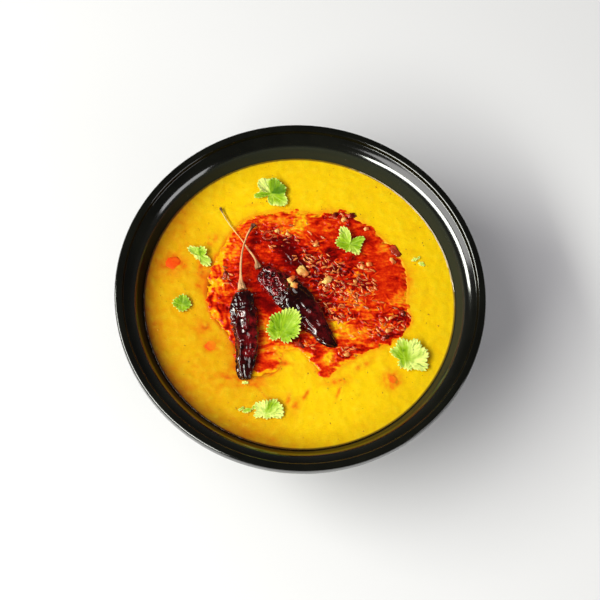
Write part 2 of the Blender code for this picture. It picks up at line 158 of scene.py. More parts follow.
# orange oil that has run into the dal around the pool
STAINS = [
    Patch(-7.2, -56.5, 3.6, 1.3, 80, 0.66), Patch(-3.6, -60.0, 4.4, 2.2, 75, 0.60),
    Patch(2.0, -54.6, 4.8, 1.2, 62, 0.80), Patch(-14, -57, 6, 0.8, -18, 0.35),
    Patch(-21.5, -52.5, 4.5, 0.8, -50, 0.35), Patch(19.5, -53, 4, 1.0, 70, 0.70),
    Patch(-52.5, -16, 4.5, 3.4, 20, 0.42), Patch(-48, -26, 4.2, 3.8, 0, 0.55),
    Patch(-78, -14, 3.4, 3.0, 0, 0.20), Patch(48.5, -46, 5.6, 5.2, 0, 0.90),
    Patch(-69, 21.5, 6.2, 5.2, 0, 0.55), Patch(-55, 8.5, 2, 2, 0, 0.35), Patch(20, -47, 8, 2.4, 10, 0.62),
    Patch(34, -37, 8, 2.2, 30, 0.62), Patch(-38, -44, 8, 1.8, -10, 0.44), Patch(-47, 36, 5, 3, 60, 0.46),
    Patch(-54, 18, 5, 1.8, 90, 0.50), Patch(-10, -36, 7, 1.4, -10, 0.45), Patch(-30, -49, 9, 2, 0, 0.25),
    Patch(-20, -38, 8, 7, 0, 0.40), Patch(0, -42, 10, 5, -20, 0.12), Patch(-24, 57, 6, 1.3, 10, 0.3),
    Patch(62, 12, 10, 2.5, 90, 0.30), Patch(70, -2, 6, 5, 0, 0.10), Patch(-56, -40, 14, 5, -40, 0.10),
]

# ---------------------------------------------------------------- the dried chillies
# places down a pod or a stalk, with the size there; heights are above the level of the dal
PodStation = namedtuple("PodStation", "x y width thickness height")
LEFT_POD = [
    PodStation(-31.7, 3.6, 9.6, 6.6, 2.2), PodStation(-31.4, 2.0, 13.0, 8.8, 1.9),
    PodStation(-30.9, -3.7, 15.6, 10.6, 1.6), PodStation(-30.6, -11.0, 16.8, 11.2, 1.5),
    PodStation(-29.8, -19.0, 16.4, 10.8, 1.4), PodStation(-29.1, -26.5, 15.2, 10.0, 1.3),
    PodStation(-29.7, -33.5, 13.4, 9.0, 1.1), PodStation(-30.1, -40.5, 11.4, 7.8, 0.9),
    PodStation(-29.9, -44.6, 8.6, 5.8, 0.8), PodStation(-29.9, -46.0, 5.6, 3.8, 0.8),
]
RIGHT_POD = [
    PodStation(-21.3, 15.6, 9.0, 6.0, 2.2), PodStation(-18.2, 13.3, 14.0, 8.4, 2.0),
    PodStation(-11.0, 8.0, 18.0, 10.2, 1.8), PodStation(-5.2, 2.3, 19.6, 10.8, 1.8),
    PodStation(-0.2, -3.8, 20.2, 11.0, 1.8), PodStation(4.7, -10.2, 18.2, 10.4, 1.6),
    PodStation(9.2, -16.8, 14.4, 8.8, 1.4), PodStation(13.4, -22.3, 10.2, 6.6, 1.1),
    PodStation(16.6, -25.4, 6.2, 4.4, 0.9), PodStation(19.0, -27.4, 2.0, 1.8, 0.8),
]
POD_STEPS = 22  # in each stretch between two stations
POD_SIDES = 150
FOLDS = 4
FOLD_DEPTH = 0.15
FOLD_TWIST = 9.0
FOLD_SWAY = 3.0
StemStation = namedtuple("StemStation", "x y height radius")
STEM_STEPS = 20
STEM_SIDES = 28
LEFT_STEM = [
    StemStation(-31.8, 4.6, 3.3, 2.6), StemStation(-32.0, 6.2, 3.3, 1.5),
    StemStation(-32.3, 11.0, 4.0, 0.95), StemStation(-32.1, 20.0, 4.9, 0.8),
    StemStation(-31.2, 27.2, 5.0, 0.65), StemStation(-28.6, 36.0, 4.3, 0.7),
    StemStation(-24.8, 43.4, 2.8, 1.2),
]
RIGHT_STEM = [
    StemStation(-22.5, 17.2, 2.9, 2.0), StemStation(-23.0, 18.8, 2.9, 1.6),
    StemStation(-24.1, 22.4, 2.7, 0.85), StemStation(-28.7, 30.0, 1.9, 0.6),
    StemStation(-32.0, 35.2, 1.6, 0.55), StemStation(-38.0, 43.6, 1.4, 0.55),
    StemStation(-41.6, 49.8, 1.5, 1.0), StemStation(-43.2, 54.2, 1.5, 0.8),
]

# ---------------------------------------------------------------- the coriander leaflets
# a lobe points in a direction (degrees from +X), reaches this far, falls to half its reach at
# breadth (degrees) to either side, lifts its tip by this much, and is painted pale (tone above 0) or dark:
# partly its own colour, partly painted light and shade by how the lobe faces the light.
# root is where the veins start, from the leaflet's centre, and fringe lengthens the teeth.
Lobe = namedtuple("Lobe", "direction reach breadth lift tone")
Leaf = namedtuple("Leaf", "x y bed root fringe lobes")
LEAF_GAP = 0.3
DAL_BED = SOUP_LEVEL + LEAF_GAP
OIL_BED = OIL_TOP + LEAF_GAP
CHILLI_BED = OIL_TOP + 1.9
LEAVES = {
    "leaf_top": Leaf(-15.3, 63.3, DAL_BED, (1.0, -1.0), 0.5, [
        Lobe(70, 8.8, 48, 2.6, -0.55), Lobe(18, 9.2, 44, 1.8, -1.1), Lobe(-38, 11.4, 36, 0.9, 0.2),
        Lobe(-78, 7.6, 40, 0.5, 0.3), Lobe(-168, 9.6, 20, 0.4, -0.3), Lobe(132, 9.4, 46, 3.2, 1.4),
    ]),
    "leaf_upper_right": Leaf(27.7, 32.2, OIL_BED, (1.0, 0.5), 1.1, [
        Lobe(112, 10.8, 30, 2.4, 0.5), Lobe(166, 7.8, 54, 0.6, -0.1), Lobe(20, 9.2, 26, 2.0, -0.15),
        Lobe(-14, 7.0, 34, 1.0, -0.5), Lobe(-50, 8.2, 32, 1.2, 0.6), Lobe(-112, 4.6, 50, 0.2, 0.1),
    ]),
    "leaf_upper_left": Leaf(-54.2, 25.5, OIL_BED, (-3.0, 2.0), 0.9, [
        Lobe(146, 8.2, 30, 1.6, 0.4), Lobe(104, 4.4, 44, 1.8, -0.7), Lobe(62, 4.8, 60, 2.2, 0.2),
        Lobe(-50, 8.0, 42, 0.6, 0.5), Lobe(-158, 3.4, 70, 0.2, 1.5),
    ]),
    "leaf_left": Leaf(-64.2, -2.6, DAL_BED, (0.0, -1.0), 1.0, [
        Lobe(172, 5.2, 70, 1.0, -0.1), Lobe(75, 5.0, 70, 1.7, -0.5), Lobe(-10, 5.2, 70, 0.9, -0.45),
        Lobe(-88, 4.8, 70, 0.6, 0.0),
    ]),
    "leaf_centre": Leaf(-10.8, -18.8, CHILLI_BED, (-1.5, -5.5), 1.5, [
        Lobe(47, 13.0, 56, 5.6, 0.2), Lobe(118, 9.2, 51, 3.0, -0.35), Lobe(180, 8.0, 46, 0.8, -0.2),
        Lobe(-136, 7.6, 33, 0.0, 0.1), Lobe(-62, 8.2, 41, 0.4, 0.05), Lobe(-14, 10.2, 46, 2.6, -0.2),
    ]),
    "leaf_lower_right": Leaf(57.0, -35.0, OIL_BED, (-0.5, -6.5), 1.5, [
        Lobe(106, 12.2, 34, 1.4, 0.15), Lobe(148, 10.6, 28, 0.6, 0.1), Lobe(62, 12.2, 30, 2.6, 1.1),
        Lobe(18, 12.0, 44, 1.8, 0.95), Lobe(-26, 12.0, 31, 0.4, 1.4), Lobe(-80, 6.4, 51, 0.2, 0.7),
        Lobe(-140, 6.2, 44, 0.2, 0.2),
    ]),
    "leaf_bottom": Leaf(-18.8, -63.3, DAL_BED, (-1.0, -2.5), 1.1, [
        Lobe(152, 7.4, 38, 1.4, 1.7), Lobe(-156, 7.6, 31, 0.4, 1.5), Lobe(46, 7.6, 38, 2.2, 0.0),
        Lobe(10, 8.6, 38, 1.4, 0.6), Lobe(-20, 9.0, 33, 0.8, 1.1), Lobe(-88, 4.8, 70, 0.2, 0.6),
        Lobe(104, 5.4, 38, 2.6, 1.1),
    ]),
}
LOBE_BLEND = 5
CREASE_DEPTH = 0.5
SCRAP_BED = SOUP_LEVEL + 0.4
Scrap = namedtuple("Scrap", "x y length width turn pale")
LEAF_SCRAPS = [
    Scrap(63.6, 23.4, 3.6, 2.4, 20, 0.6), Scrap(67.4, 20.8, 4.0, 2.8, -30, 0.4),
    Scrap(66.0, 24.6, 2.0, 1.4, 60, 0.3), Scrap(-29.4, -63.2, 5.0, 3.2, 10, 0.0),
    Scrap(-25.6, -61.4, 3.2, 2.4, 40, 0.1), Scrap(-32.4, -62.2, 3.6, 1.4, 35, 0.2),
    Scrap(-30.2, -47.6, 3.6, 2.2, 0, 0.9),
]

# ---------------------------------------------------------------- what is scattered in the pool
# cumin seeds lie thickest in these places: centre, half-sizes, turn, and their share of the seeds
SEED_BEDS = [
    Patch(16, 16, 16, 10, -35, 0.26), Patch(29, 4, 15, 9, -20, 0.20), Patch(20, -8, 13, 7, -20, 0.14),
    Patch(34, 12, 8, 8, 0, 0.08), Patch(49, -13, 9, 6, 10, 0.08), Patch(40, -18, 8, 4, 10, 0.05),
    Patch(-39, 13, 4.5, 5.5, 0, 0.03), Patch(24, 49, 9, 3, -5, 0.03), Patch(2, 24, 8, 5, -30, 0.05),
    Patch(8, 36, 9, 6, -30, 0.05), Patch(5, -26, 6, 3, -20, 0.02), Patch(24, -30, 6, 3, 0, 0.03),
    Patch(-10, 38, 10, 6, 0, 0.06),
]
SEED_GAP = 1.15  # least distance between the middles of two seeds
SEED_SHORE = 1.5  # least distance from the pool's edge
SEED_TRIES = 20000
# those that lie just under the surface are only relief and colour of the pool
SUNK_SEEDS = 420
SUNK_LENTILS = 170
LENTIL_BEDS = [
    Patch(20, 5, 40, 34, 0, 0.6), Patch(-36, 22, 16, 24, 0, 0.2), Patch(-5, 44, 24, 7, 0, 0.1),
    Patch(14, -34, 14, 8, 0, 0.1),
]
# a cooked bit has a position, a length, width and height, a turn in degrees, and how brown it is
Bit = namedtuple("Bit", "x y length width height turn brown")
GARLIC = [
    Bit(1.4, 16.2, 6.8, 4.2, 2.4, -50, 0.48), Bit(15.0, 11.0, 4.8, 3.2, 2.0, 40, 0.26),
    Bit(38.4, 20.6, 2.8, 2.4, 1.5, 0, 0.90), Bit(34.6, 19.4, 3.4, 2.6, 1.5, 70, 1.00),
    Bit(25.0, 47.4, 3.4, 2.0, 1.6, 60, 0.50), Bit(37.6, 42.0, 2.6, 2.0, 1.3, 0, 1.00),
    Bit(47.6, -18.2, 3.6, 2.2, 1.4, 10, 0.95), Bit(49.6, -10.4, 3.4, 1.8, 1.4, 35, 0.90),
    Bit(9.6, 33.0, 3.4, 2.2, 1.4, 60, 1.00), Bit(-11.8, 40.6, 2.6, 1.7, 1.2, 20, 0.45),
    Bit(-6.0, 38.4, 2.6, 1.5, 1.2, -30, 0.50), Bit(51.4, 22.6, 3.8, 2.2, 1.6, -50, 0.70),
    Bit(30.4, 10.4, 2.4, 1.8, 1.2, 0, 0.70), Bit(24.8, -31.8, 3.0, 2.0, 1.4, 20, 0.95),
]
GARLIC_ON_POD = [Bit(-5.0, 9.2, 4.4, 2.4, 1.6, 35, 0.80), Bit(-3.4, 6.0, 3.6, 2.8, 1.6, -20, 0.55)]
FLAKES = [
    Bit(52.4, 28.6, 7.0, 4.4, 1.2, -55, 0.35), Bit(29.4, 50.0, 4.0, 2.6, 1.2, 10, 0.9),
    Bit(20.0, 50.0, 3.4, 2.2, 1.2, 50, 0.8), Bit(-40.4, 14.4, 4.0, 3.0, 1.2, 60, 0.6),
    Bit(55.6, -8.0, 3.6, 2.2, 1.2, -20, 0.6), Bit(45.4, -22.4, 4.0, 2.4, 1.2, 15, 0.7),
    Bit(-1.0, -26.2, 5.0, 2.4, 1.2, -30, 0.5),
]
RING = Bit(-17.0, 37.7, 5.6, 4.8, 1.3, 30, 0.6)  # a curled slice of chilli
TOMATOES = [
    Bit(-69.2, 21.4, 8.6, 7.4, 1.5, 15, 0.1), Bit(-48.0, -26.2, 7.0, 6.2, 1.3, 30, 0.75),
    Bit(48.5, -46.0, 5.6, 4.8, 1.3, 25, 0.45),
]

# ---------------------------------------------------------------- the stage
LENS = 100.55
SENSOR = 36.0
LENS_SHIFT = (-0.00207, -0.01548)
LIGHT_DISTANCE = 1.3


# ---------------------------------------------------------------- settings in the sidebar
def length(name, description, default):
    """A length in metres that the sidebar shows in the scene's own unit."""
    return FloatProperty(
        name=name, description=description, default=default, unit="LENGTH", subtype="DISTANCE",
    )


def colour(name, description, default):
    """A colour in linear light."""
    return FloatVectorProperty(
        name=name, description=description, default=default, size=3, min=0, max=1, subtype="COLOR",
    )


def angle(name, description, default):
    """An angle whose default is given in degrees."""
    return FloatProperty(
        name=name, description=description, default=math.radians(default), unit="ROTATION", subtype="ANGLE",
    )


def power(name, description, default):
    """The power of a light in watts."""
    return FloatProperty(name=name, description=description, default=default, unit="POWER")


def factor(name, description, default):
    """A number without a unit."""
    return FloatProperty(name=name, description=description, default=default)


class DalStageSettings(bpy.types.PropertyGroup):
    floor: colour("Floor", "Colour of the floor", (0.905, 0.893, 0.925))
    floor_size: length("Floor size", "Half the width of the floor", 3.0)
    distance: length("Camera distance", "From the middle of the rim to the camera", 0.9)
    elevation: angle("Camera elevation", "Height of the camera above the horizon", 68.3)
    azimuth: angle("Camera azimuth", "Turn of the camera around the bowl", -8.04)
    roll: angle("Camera roll", "Turn of the camera around its own axis", 7.47)
    window: power("Window", "Power of the window light", 22.0)
    upper: power("Upper window", "Power of the window's top", 3.4)
    fill: power("Fill", "Power of the fill light", 2.0)
    horizon: factor("Horizon", "Strength of the light from low down all around", 0.60)
    zenith: factor("Zenith", "Strength of the light from above", 0.20)
    mirrored: factor("Mirrored", "How much of that light glossy things mirror", 0.12)


class DalBowlSettings(bpy.types.PropertyGroup):
    segments: IntProperty(name="Segments", description="Steps around the bowl", default=192, min=48)
    glaze: colour("Glaze", "Colour of the glaze", (0.0026, 0.0027, 0.0016))
    bloom: colour("Bloom", "Colour of the matt clouds in the glaze", (0.0075, 0.008, 0.005))
    # painted light: the colour of the wall where it is painted brighter, on the side that faces the window
    lit_wall: colour("Haze", "Colour of the dry film on the wall", (0.025, 0.028, 0.018))


class DalLentilSettings(bpy.types.PropertyGroup):
    lumps: length("Lumps", "Height of the lentils at the surface", 0.20 * MM)
    yellow: colour("Yellow", "Colour of the dal", (0.98, 0.62, 0.002))
    # painted highlight: the paler colour painted on the lentils' tops
    pale: colour("Pale yellow", "Colour of the lentils' tops", (1.0, 0.78, 0.02))
    orange: colour("Orange", "Colour of dal that oil has run into", (0.92, 0.20, 0.003))
    specks: IntProperty(name="Specks", description="How many flecks of spice lie on the dal", default=95)


class DalOilSettings(bpy.types.PropertyGroup):
    pitch: length("Mesh pitch", "Size of the mesh that makes the oil's surface", 0.33 * MM)
    ripple: length("Ripples", "Height of the ripples and lumps in the oil", 0.40 * MM)
    thin: colour("Thin oil", "Colour where the dal shines through", (0.96, 0.30, 0.006))
    middle: colour("Oil", "Colour of the oil", (0.76, 0.030, 0.002))
    deep: colour("Deep oil", "Colour where the oil is deepest", (0.09, 0.001, 0.001))


class DalChilliSettings(bpy.types.PropertyGroup):
    skin: colour("Skin", "Colour of the dark skin", (0.006, 0.0010, 0.0012))
    glow: colour("Glow", "Colour of the skin where light comes through", (0.30, 0.007, 0.010))
    wrinkle: factor("Wrinkles", "Depth of the wrinkles as a share of the radius", 0.24)
    stalk: colour("Stalk", "Colour of the stalks", (1.0, 0.53, 0.23))


class DalLeafSettings(bpy.types.PropertyGroup):
    tooth_pitch: length("Tooth pitch", "Distance between the teeth of a leaflet", 2.0 * MM)
    tooth_depth: length("Tooth depth", "Depth of the teeth", 1.05 * MM)
    thickness: length("Thickness", "Thickness of a leaflet", 0.32 * MM)
    green: colour("Green", "Colour of the blade", (0.37, 0.58, 0.010))
    # pale is also painted on the lobes that face the light, and dark in the creases, as painted light and
    # shade
    pale: colour("Pale green", "Colour of the tips and the pale side", (0.86, 0.98, 0.24))
    dark: colour("Dark green", "Colour in the creases", (0.085, 0.21, 0.003))


class DalSeedSettings(bpy.types.PropertyGroup):
    count: IntProperty(name="Seeds", description="How many cumin seeds lie in the oil", default=270)
    length: length("Length", "Length of a cumin seed", 3.9 * MM)
    width: length("Width", "Width of a cumin seed", 1.45 * MM)
    # painted light and shade: the light colour goes on the seeds' upper sides and the dark one on their lower
    # sides, partly for the oil over the lower sides
    light: colour("Light side", "Colour of the seeds' ribs", (0.98, 0.26, 0.055))
    dark: colour("Dark side", "Colour between the ribs", (0.16, 0.003, 0.002))


# ---------------------------------------------------------------- curves and noise, in millimetres
def bezier(start, handle_a, handle_b, end, count):
    """count + 1 points of a cubic curve in the profile plane, both ends included."""
    corners = np.array([start, handle_a, handle_b, end], float)
    t = np.linspace(0, 1, count + 1)[:, None]
    shares = np.hstack([(1 - t) ** 3, 3 * t * (1 - t) ** 2, 3 * t**2 * (1 - t), t**3])
    return shares @ corners


def arc(centre, radius, start, end, count):
    """count + 1 points of a round corner, with its angles in degrees."""
    turns = np.radians(np.linspace(start, end, count + 1))
    return np.array(centre) + radius * np.stack([np.cos(turns), np.sin(turns)], axis=1)


def through(points, steps, closed=False):
    """A smooth Catmull-Rom curve through the points, with this many steps in each stretch."""
    knots = np.array(points, float)
    count = len(knots)
    t = (np.arange(steps) / steps)[:, None]
    made = []
    for i in range(count if closed else count - 1):
        places = [(i + k) % count if closed else min(max(i + k, 0), count - 1) for k in (-1, 0, 1, 2)]
        a, b, c, d = knots[places]
        bend = (2 * a - 5 * b + 4 * c - d) * t**2 / 2
        twist = (3 * b - a - 3 * c + d) * t**3 / 2
        made.append(b + (c - a) * t / 2 + bend + twist)
    if not closed:
        made.append(knots[-1:])
    return np.concatenate(made)


def pool_outline():
    """The smooth outline of the oil pool."""
    return through(OIL_OUTLINE, 6, closed=True)


def full_turn(count):
    """The angles of count even steps all the way round."""
    return 2 * np.pi * np.arange(count) / count


def ease(share):
    """0 up to 0, 1 from 1 on, and a smooth rise between them."""
    share = np.clip(share, 0, 1)
    return share * share * (3 - 2 * share)


def hills(x, y, size, seed, octaves=1):
    """Smooth noise between about -1 and 1 over arrays of places, with hills of this size in mm."""
    total = 0.0
    for octave in range(octaves):
        u = x / size * 2**octave + 31.7 * seed
        v = y / size * 2**octave - 17.3 * seed
        column, row = np.floor(u), np.floor(v)
        across, up = u - column, v - row
        for i in (0, 1):
            for j in (0, 1):
                mixed = np.sin((column + i) * 127.1 + (row + j) * 311.7 + octave) * 43758.5453
                turn = 2 * np.pi * (mixed - np.floor(mixed))
                slope = np.cos(turn) * (across - i) + np.sin(turn) * (up - j)
                share_x = ease(across) if i else 1 - ease(across)
                share_y = ease(up) if j else 1 - ease(up)
                total = total + 1.5 * slope * share_x * share_y / 2**octave
    return total


def crests(x, y, size, seed):
    """Noise from 0 to 1 with sharp crests."""
    return 1 - np.minimum(np.abs(hills(x, y, size, seed)) * 1.8, 1)


def patches(x, y, places):
    """The sum of soft-edged patches at each place."""
    total = np.zeros_like(x)
    for patch in places:
        turn = math.radians(patch.turn)
        along = (x - patch.x) * math.cos(turn) + (y - patch.y) * math.sin(turn)
        across = (y - patch.y) * math.cos(turn) - (x - patch.x) * math.sin(turn)
        total += patch.amount * np.exp(-((along / patch.long) ** 2 + (across / patch.wide) ** 2))
    return total


def spot_in(patch, along, across):
    """The place that lies this far along and across a patch from its middle."""
    turn = math.radians(patch.turn)
    x = patch.x + along * math.cos(turn) - across * math.sin(turn)
    y = patch.y + along * math.sin(turn) + across * math.cos(turn)
    return x, y


def depth_inside(x, y, outline):
    """Distance to a closed outline, positive inside it and negative outside."""
    nearest = np.full_like(x, 1e9)
    inside = np.zeros(x.shape, bool)
    for (ax, ay), (bx, by) in zip(outline, np.roll(outline, -1, axis=0)):
        run_x, run_y = bx - ax, by - ay
        share = np.clip(((x - ax) * run_x + (y - ay) * run_y) / (run_x**2 + run_y**2), 0, 1)
        nearest = np.minimum(nearest, np.hypot(x - ax - share * run_x, y - ay - share * run_y))
        if ay != by:
            crossed = (ay > y) != (by > y)
            inside ^= crossed & (x < ax + (y - ay) * run_x / run_y)
    return np.where(inside, nearest, -nearest)


def around(turns, along, girth, stretch, seed):
    """Noise on a tube: turns are angles round it and along is the way down it, in mm."""
    values = [
        noise.noise(Vector((math.cos(t) * girth + seed, math.sin(t) * girth, s / stretch)))
        for t, s in zip(turns.ravel(), along.ravel())
    ]
    return np.array(values).reshape(turns.shape)


# ---------------------------------------------------------------- meshes
def new_piece(name, points, faces, finish, nodes=()):
    """A smooth mesh of points in mm that rides on the bowl and stands for these nodes."""
    mesh = bpy.data.meshes.new(name)
    mesh.from_pydata((np.asarray(points, float) * MM).tolist(), [], faces)
    mesh.update()
    mesh.shade_smooth()
    mesh.materials.append(finish)
    piece = bpy.data.objects.new(name, mesh)
    bpy.context.scene.collection.objects.link(piece)
    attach(piece, BODY)
    if nodes:
        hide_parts(*nodes)
    return piece


def paint(piece, name, values):
    """Keeps one number for each point, for the material to read."""
    layer = piece.data.attributes.new(name, "FLOAT", "POINT")
    layer.data.foreach_set("value", np.asarray(values, np.float32).ravel())


def with_ends(values, end=0.0):
    """The numbers of a skinned body's rings, followed by the one at its two end points."""
    return np.append(np.ravel(values), [end, end])


def skin(rings):
    """Points and faces of a closed body through rings of points: an array of rings by sides by 3."""
    count, sides = rings.shape[:2]
    points = np.concatenate([rings.reshape(-1, 3), rings[:1].mean(axis=1), rings[-1:].mean(axis=1)])
    first, last = count * sides, count * sides + 1
    faces = []
    for k in range(sides):
        after = (k + 1) % sides
        faces.append((first, after, k))
        faces.append((last, (count - 1) * sides + k, (count - 1) * sides + after))
        for i in range(count - 1):
            low, high = i * sides, (i + 1) * sides
            faces.append((low + k, low + after, high + after, high + k))
    return points, faces


def joined(parts):
    """Points, faces and the number of each part's points, of many (points, faces) together."""
    points, faces, start = [], [], 0
    for part_points, part_faces in parts:
        points.append(part_points)
        faces += [tuple(start + corner for corner in face) for face in part_faces]
        start += len(part_points)
    return np.concatenate(points), faces, [len(part_points) for part_points, part_faces in parts]


def lump(size, seed, roughness, squareness=0.75, detail=3):
    """An irregular rounded lump of a length, width and height: its points and faces."""
    tool = bmesh.new()
    bmesh.ops.create_icosphere(tool, subdivisions=detail, radius=1.0)
    points = []
    for corner in tool.verts:
        place = corner.co
        boxed = Vector([math.copysign(abs(value) ** squareness, value) for value in place])
        swell = 1 + roughness * noise.noise(place * 1.3 + Vector((seed, 0, 0)))
        swell += 0.4 * roughness * noise.noise(place * 3.1 + Vector((0, seed, 0)))
        points.append(boxed * swell)
    faces = [tuple(corner.index for corner in face.verts) for face in tool.faces]
    tool.free()
    return np.array(points) * np.array(size) / 2, faces


def placed(points, x, y, z, yaw, pitch=0.0, roll=0.0):
    """Points turned about their own centre (degrees) and moved to a place."""
    turn = np.array(Euler([math.radians(value) for value in (roll, pitch, yaw)]).to_matrix())
    return points @ turn.T + np.array((x, y, z))


# ---------------------------------------------------------------- materials
class Pattern:
    """Short ways to add nodes to a material or to a node group."""

    def __init__(self, tree):
        self.tree = tree

    def add(self, kind, inputs=None, **settings):
        made = self.tree.nodes.new(kind)
        for name, value in settings.items():
            setattr(made, name, value)
        for name, value in (inputs or {}).items():
            self.feed(made.inputs[name], value)
        return made

    def feed(self, socket, value):
        if isinstance(value, bpy.types.NodeSocket):
            self.tree.links.new(value, socket)
        else:
            socket.default_value = value

    def attribute(self, name):
        return self.add("ShaderNodeAttribute", attribute_name=name).outputs["Fac"]

    def place(self):
        return self.add("ShaderNodeTexCoord").outputs["Object"]

    def clouds(self, scale, detail=2.0, roughness=0.5, distortion=0.0, where=None):
        inputs = {
            "Vector": where or self.place(), "Scale": scale, "Detail": detail, "Roughness": roughness,
            "Distortion": distortion,
        }
        return self.add("ShaderNodeTexNoise", inputs).outputs["Fac"]

    def stretched(self, scale):
        return self.add("ShaderNodeMapping", {"Vector": self.place(), "Scale": scale}).outputs["Vector"]

    def ramp(self, source, stops):
        made = self.add("ShaderNodeValToRGB", {"Fac": source})
        elements = made.color_ramp.elements
        while len(elements) < len(stops):
            elements.new(1.0)
        for element, (place, value) in zip(elements, stops):
            element.position = place
            shade = (value,) * 3 if isinstance(value, (int, float)) else tuple(value)
            element.color = (*shade, 1.0)
        return made.outputs["Color"]

    def blend(self, share, first, second, kind="MIX"):
        made = self.add("ShaderNodeMix", data_type="RGBA", blend_type=kind)
        self.feed(made.inputs["Factor"], share)
        for socket, value in ((made.inputs[6], first), (made.inputs[7], second)):
            self.feed(socket, value if isinstance(value, bpy.types.NodeSocket) else (*value, 1.0))
        return made.outputs[2]

    def maths(self, kind, first, second=0.0, clamp=False):
        made = self.add("ShaderNodeMath", operation=kind, use_clamp=clamp)
        self.feed(made.inputs[0], first)
        self.feed(made.inputs[1], second)
        return made.outputs[0]

    def between(self, source, low, high, new_low=0.0, new_high=1.0):
        values = {"Value": source, "From Min": low, "From Max": high, "To Min": new_low, "To Max": new_high}
        return self.add("ShaderNodeMapRange", values).outputs["Result"]

    def bump(self, height, distance, strength):
        inputs = {"Height": height, "Distance": distance, "Strength": strength}
        return self.add("ShaderNodeBump", inputs).outputs["Normal"]

    def group(self, name, **values):
        made = self.add("ShaderNodeGroup", node_tree=bpy.data.node_groups[name])
        for socket, value in values.items():
            self.feed(made.inputs[socket.replace("_", " ").capitalize()], value)
        return made.outputs


def new_group(name, inputs, outputs):
    """An empty node group with named number sockets. Returns its pattern, inputs and outputs."""
    tree = bpy.data.node_groups.new(name, "ShaderNodeTree")
    for socket, default in inputs.items():
        made = tree.interface.new_socket(socket, in_out="INPUT", socket_type="NodeSocketFloat")
        made.default_value = default
    for socket in outputs:
        tree.interface.new_socket(socket, in_out="OUTPUT", socket_type="NodeSocketFloat")
    pattern = Pattern(tree)
    return pattern, pattern.add("NodeGroupInput").outputs, pattern.add("NodeGroupOutput").inputs


def build_groups():
    """The effects that several materials share: a patchy wet film, and small flecks."""
    inputs = {"Scale": 500.0, "Gloss": 0.12, "Spread": 0.1}
    pattern, given, result = new_group("wet film", inputs, ["Roughness"])
    film = pattern.clouds(given["Scale"], detail=3.0, roughness=0.6)
    patchy = pattern.maths("MULTIPLY", film, given["Spread"])
    pattern.feed(result["Roughness"], pattern.maths("ADD", patchy, given["Gloss"]))

    inputs = {"Scale": 400.0, "Size": 0.16, "Share": 0.3}
    pattern, given, result = new_group("flecks", inputs, ["Mask"])
    cells = pattern.add("ShaderNodeTexVoronoi", {"Vector": pattern.place(), "Scale": given["Scale"]})
    near = pattern.maths("LESS_THAN", cells.outputs["Distance"], given["Size"])
    chosen = pattern.add("ShaderNodeSeparateColor", {"Color": cells.outputs["Color"]}).outputs["Red"]
    kept = pattern.maths("LESS_THAN", chosen, given["Share"])
    pattern.feed(result["Mask"], pattern.maths("MULTIPLY", near, kept))


def new_finish(name, roughness=0.4):
    """A new material. Returns it, its pattern and its shader's inputs."""
    made = bpy.data.materials.new(name)
    made.use_nodes = True
    shader = made.node_tree.nodes["Principled BSDF"]
    shader.inputs["Roughness"].default_value = roughness
    return made, Pattern(made.node_tree), shader.inputs


def glaze_finish(settings):
    made, pattern, shader = new_finish("black_glaze")
    clouds = pattern.clouds(28.0, detail=5.0, roughness=0.62)
    grain = pattern.clouds(900.0, detail=3.0)
    tint = pattern.blend(pattern.between(clouds, 0.40, 0.72), settings.glaze, settings.bloom)
    pits = pattern.group("flecks", scale=260.0, size=0.10, share=0.05)["Mask"]
    # painted light on the wall, brighter on the side that faces the window
    tint = pattern.blend(pattern.attribute("lit_wall"), tint, settings.lit_wall)
    pattern.feed(shader["Base Color"], pattern.blend(pits, tint, (0.05, 0.048, 0.04)))
    pattern.feed(shader["Roughness"], pattern.between(clouds, 0.3, 0.75, 0.08, 0.14))
    pattern.feed(shader["Normal"], pattern.bump(grain, 0.00003, 0.15))
    pattern.feed(shader["Coat Weight"], pattern.attribute("gloss"))
    shader["Coat Roughness"].default_value = 0.11
    shader["Coat IOR"].default_value = 2.0
    shader["Specular IOR Level"].default_value = 0.05
    return made


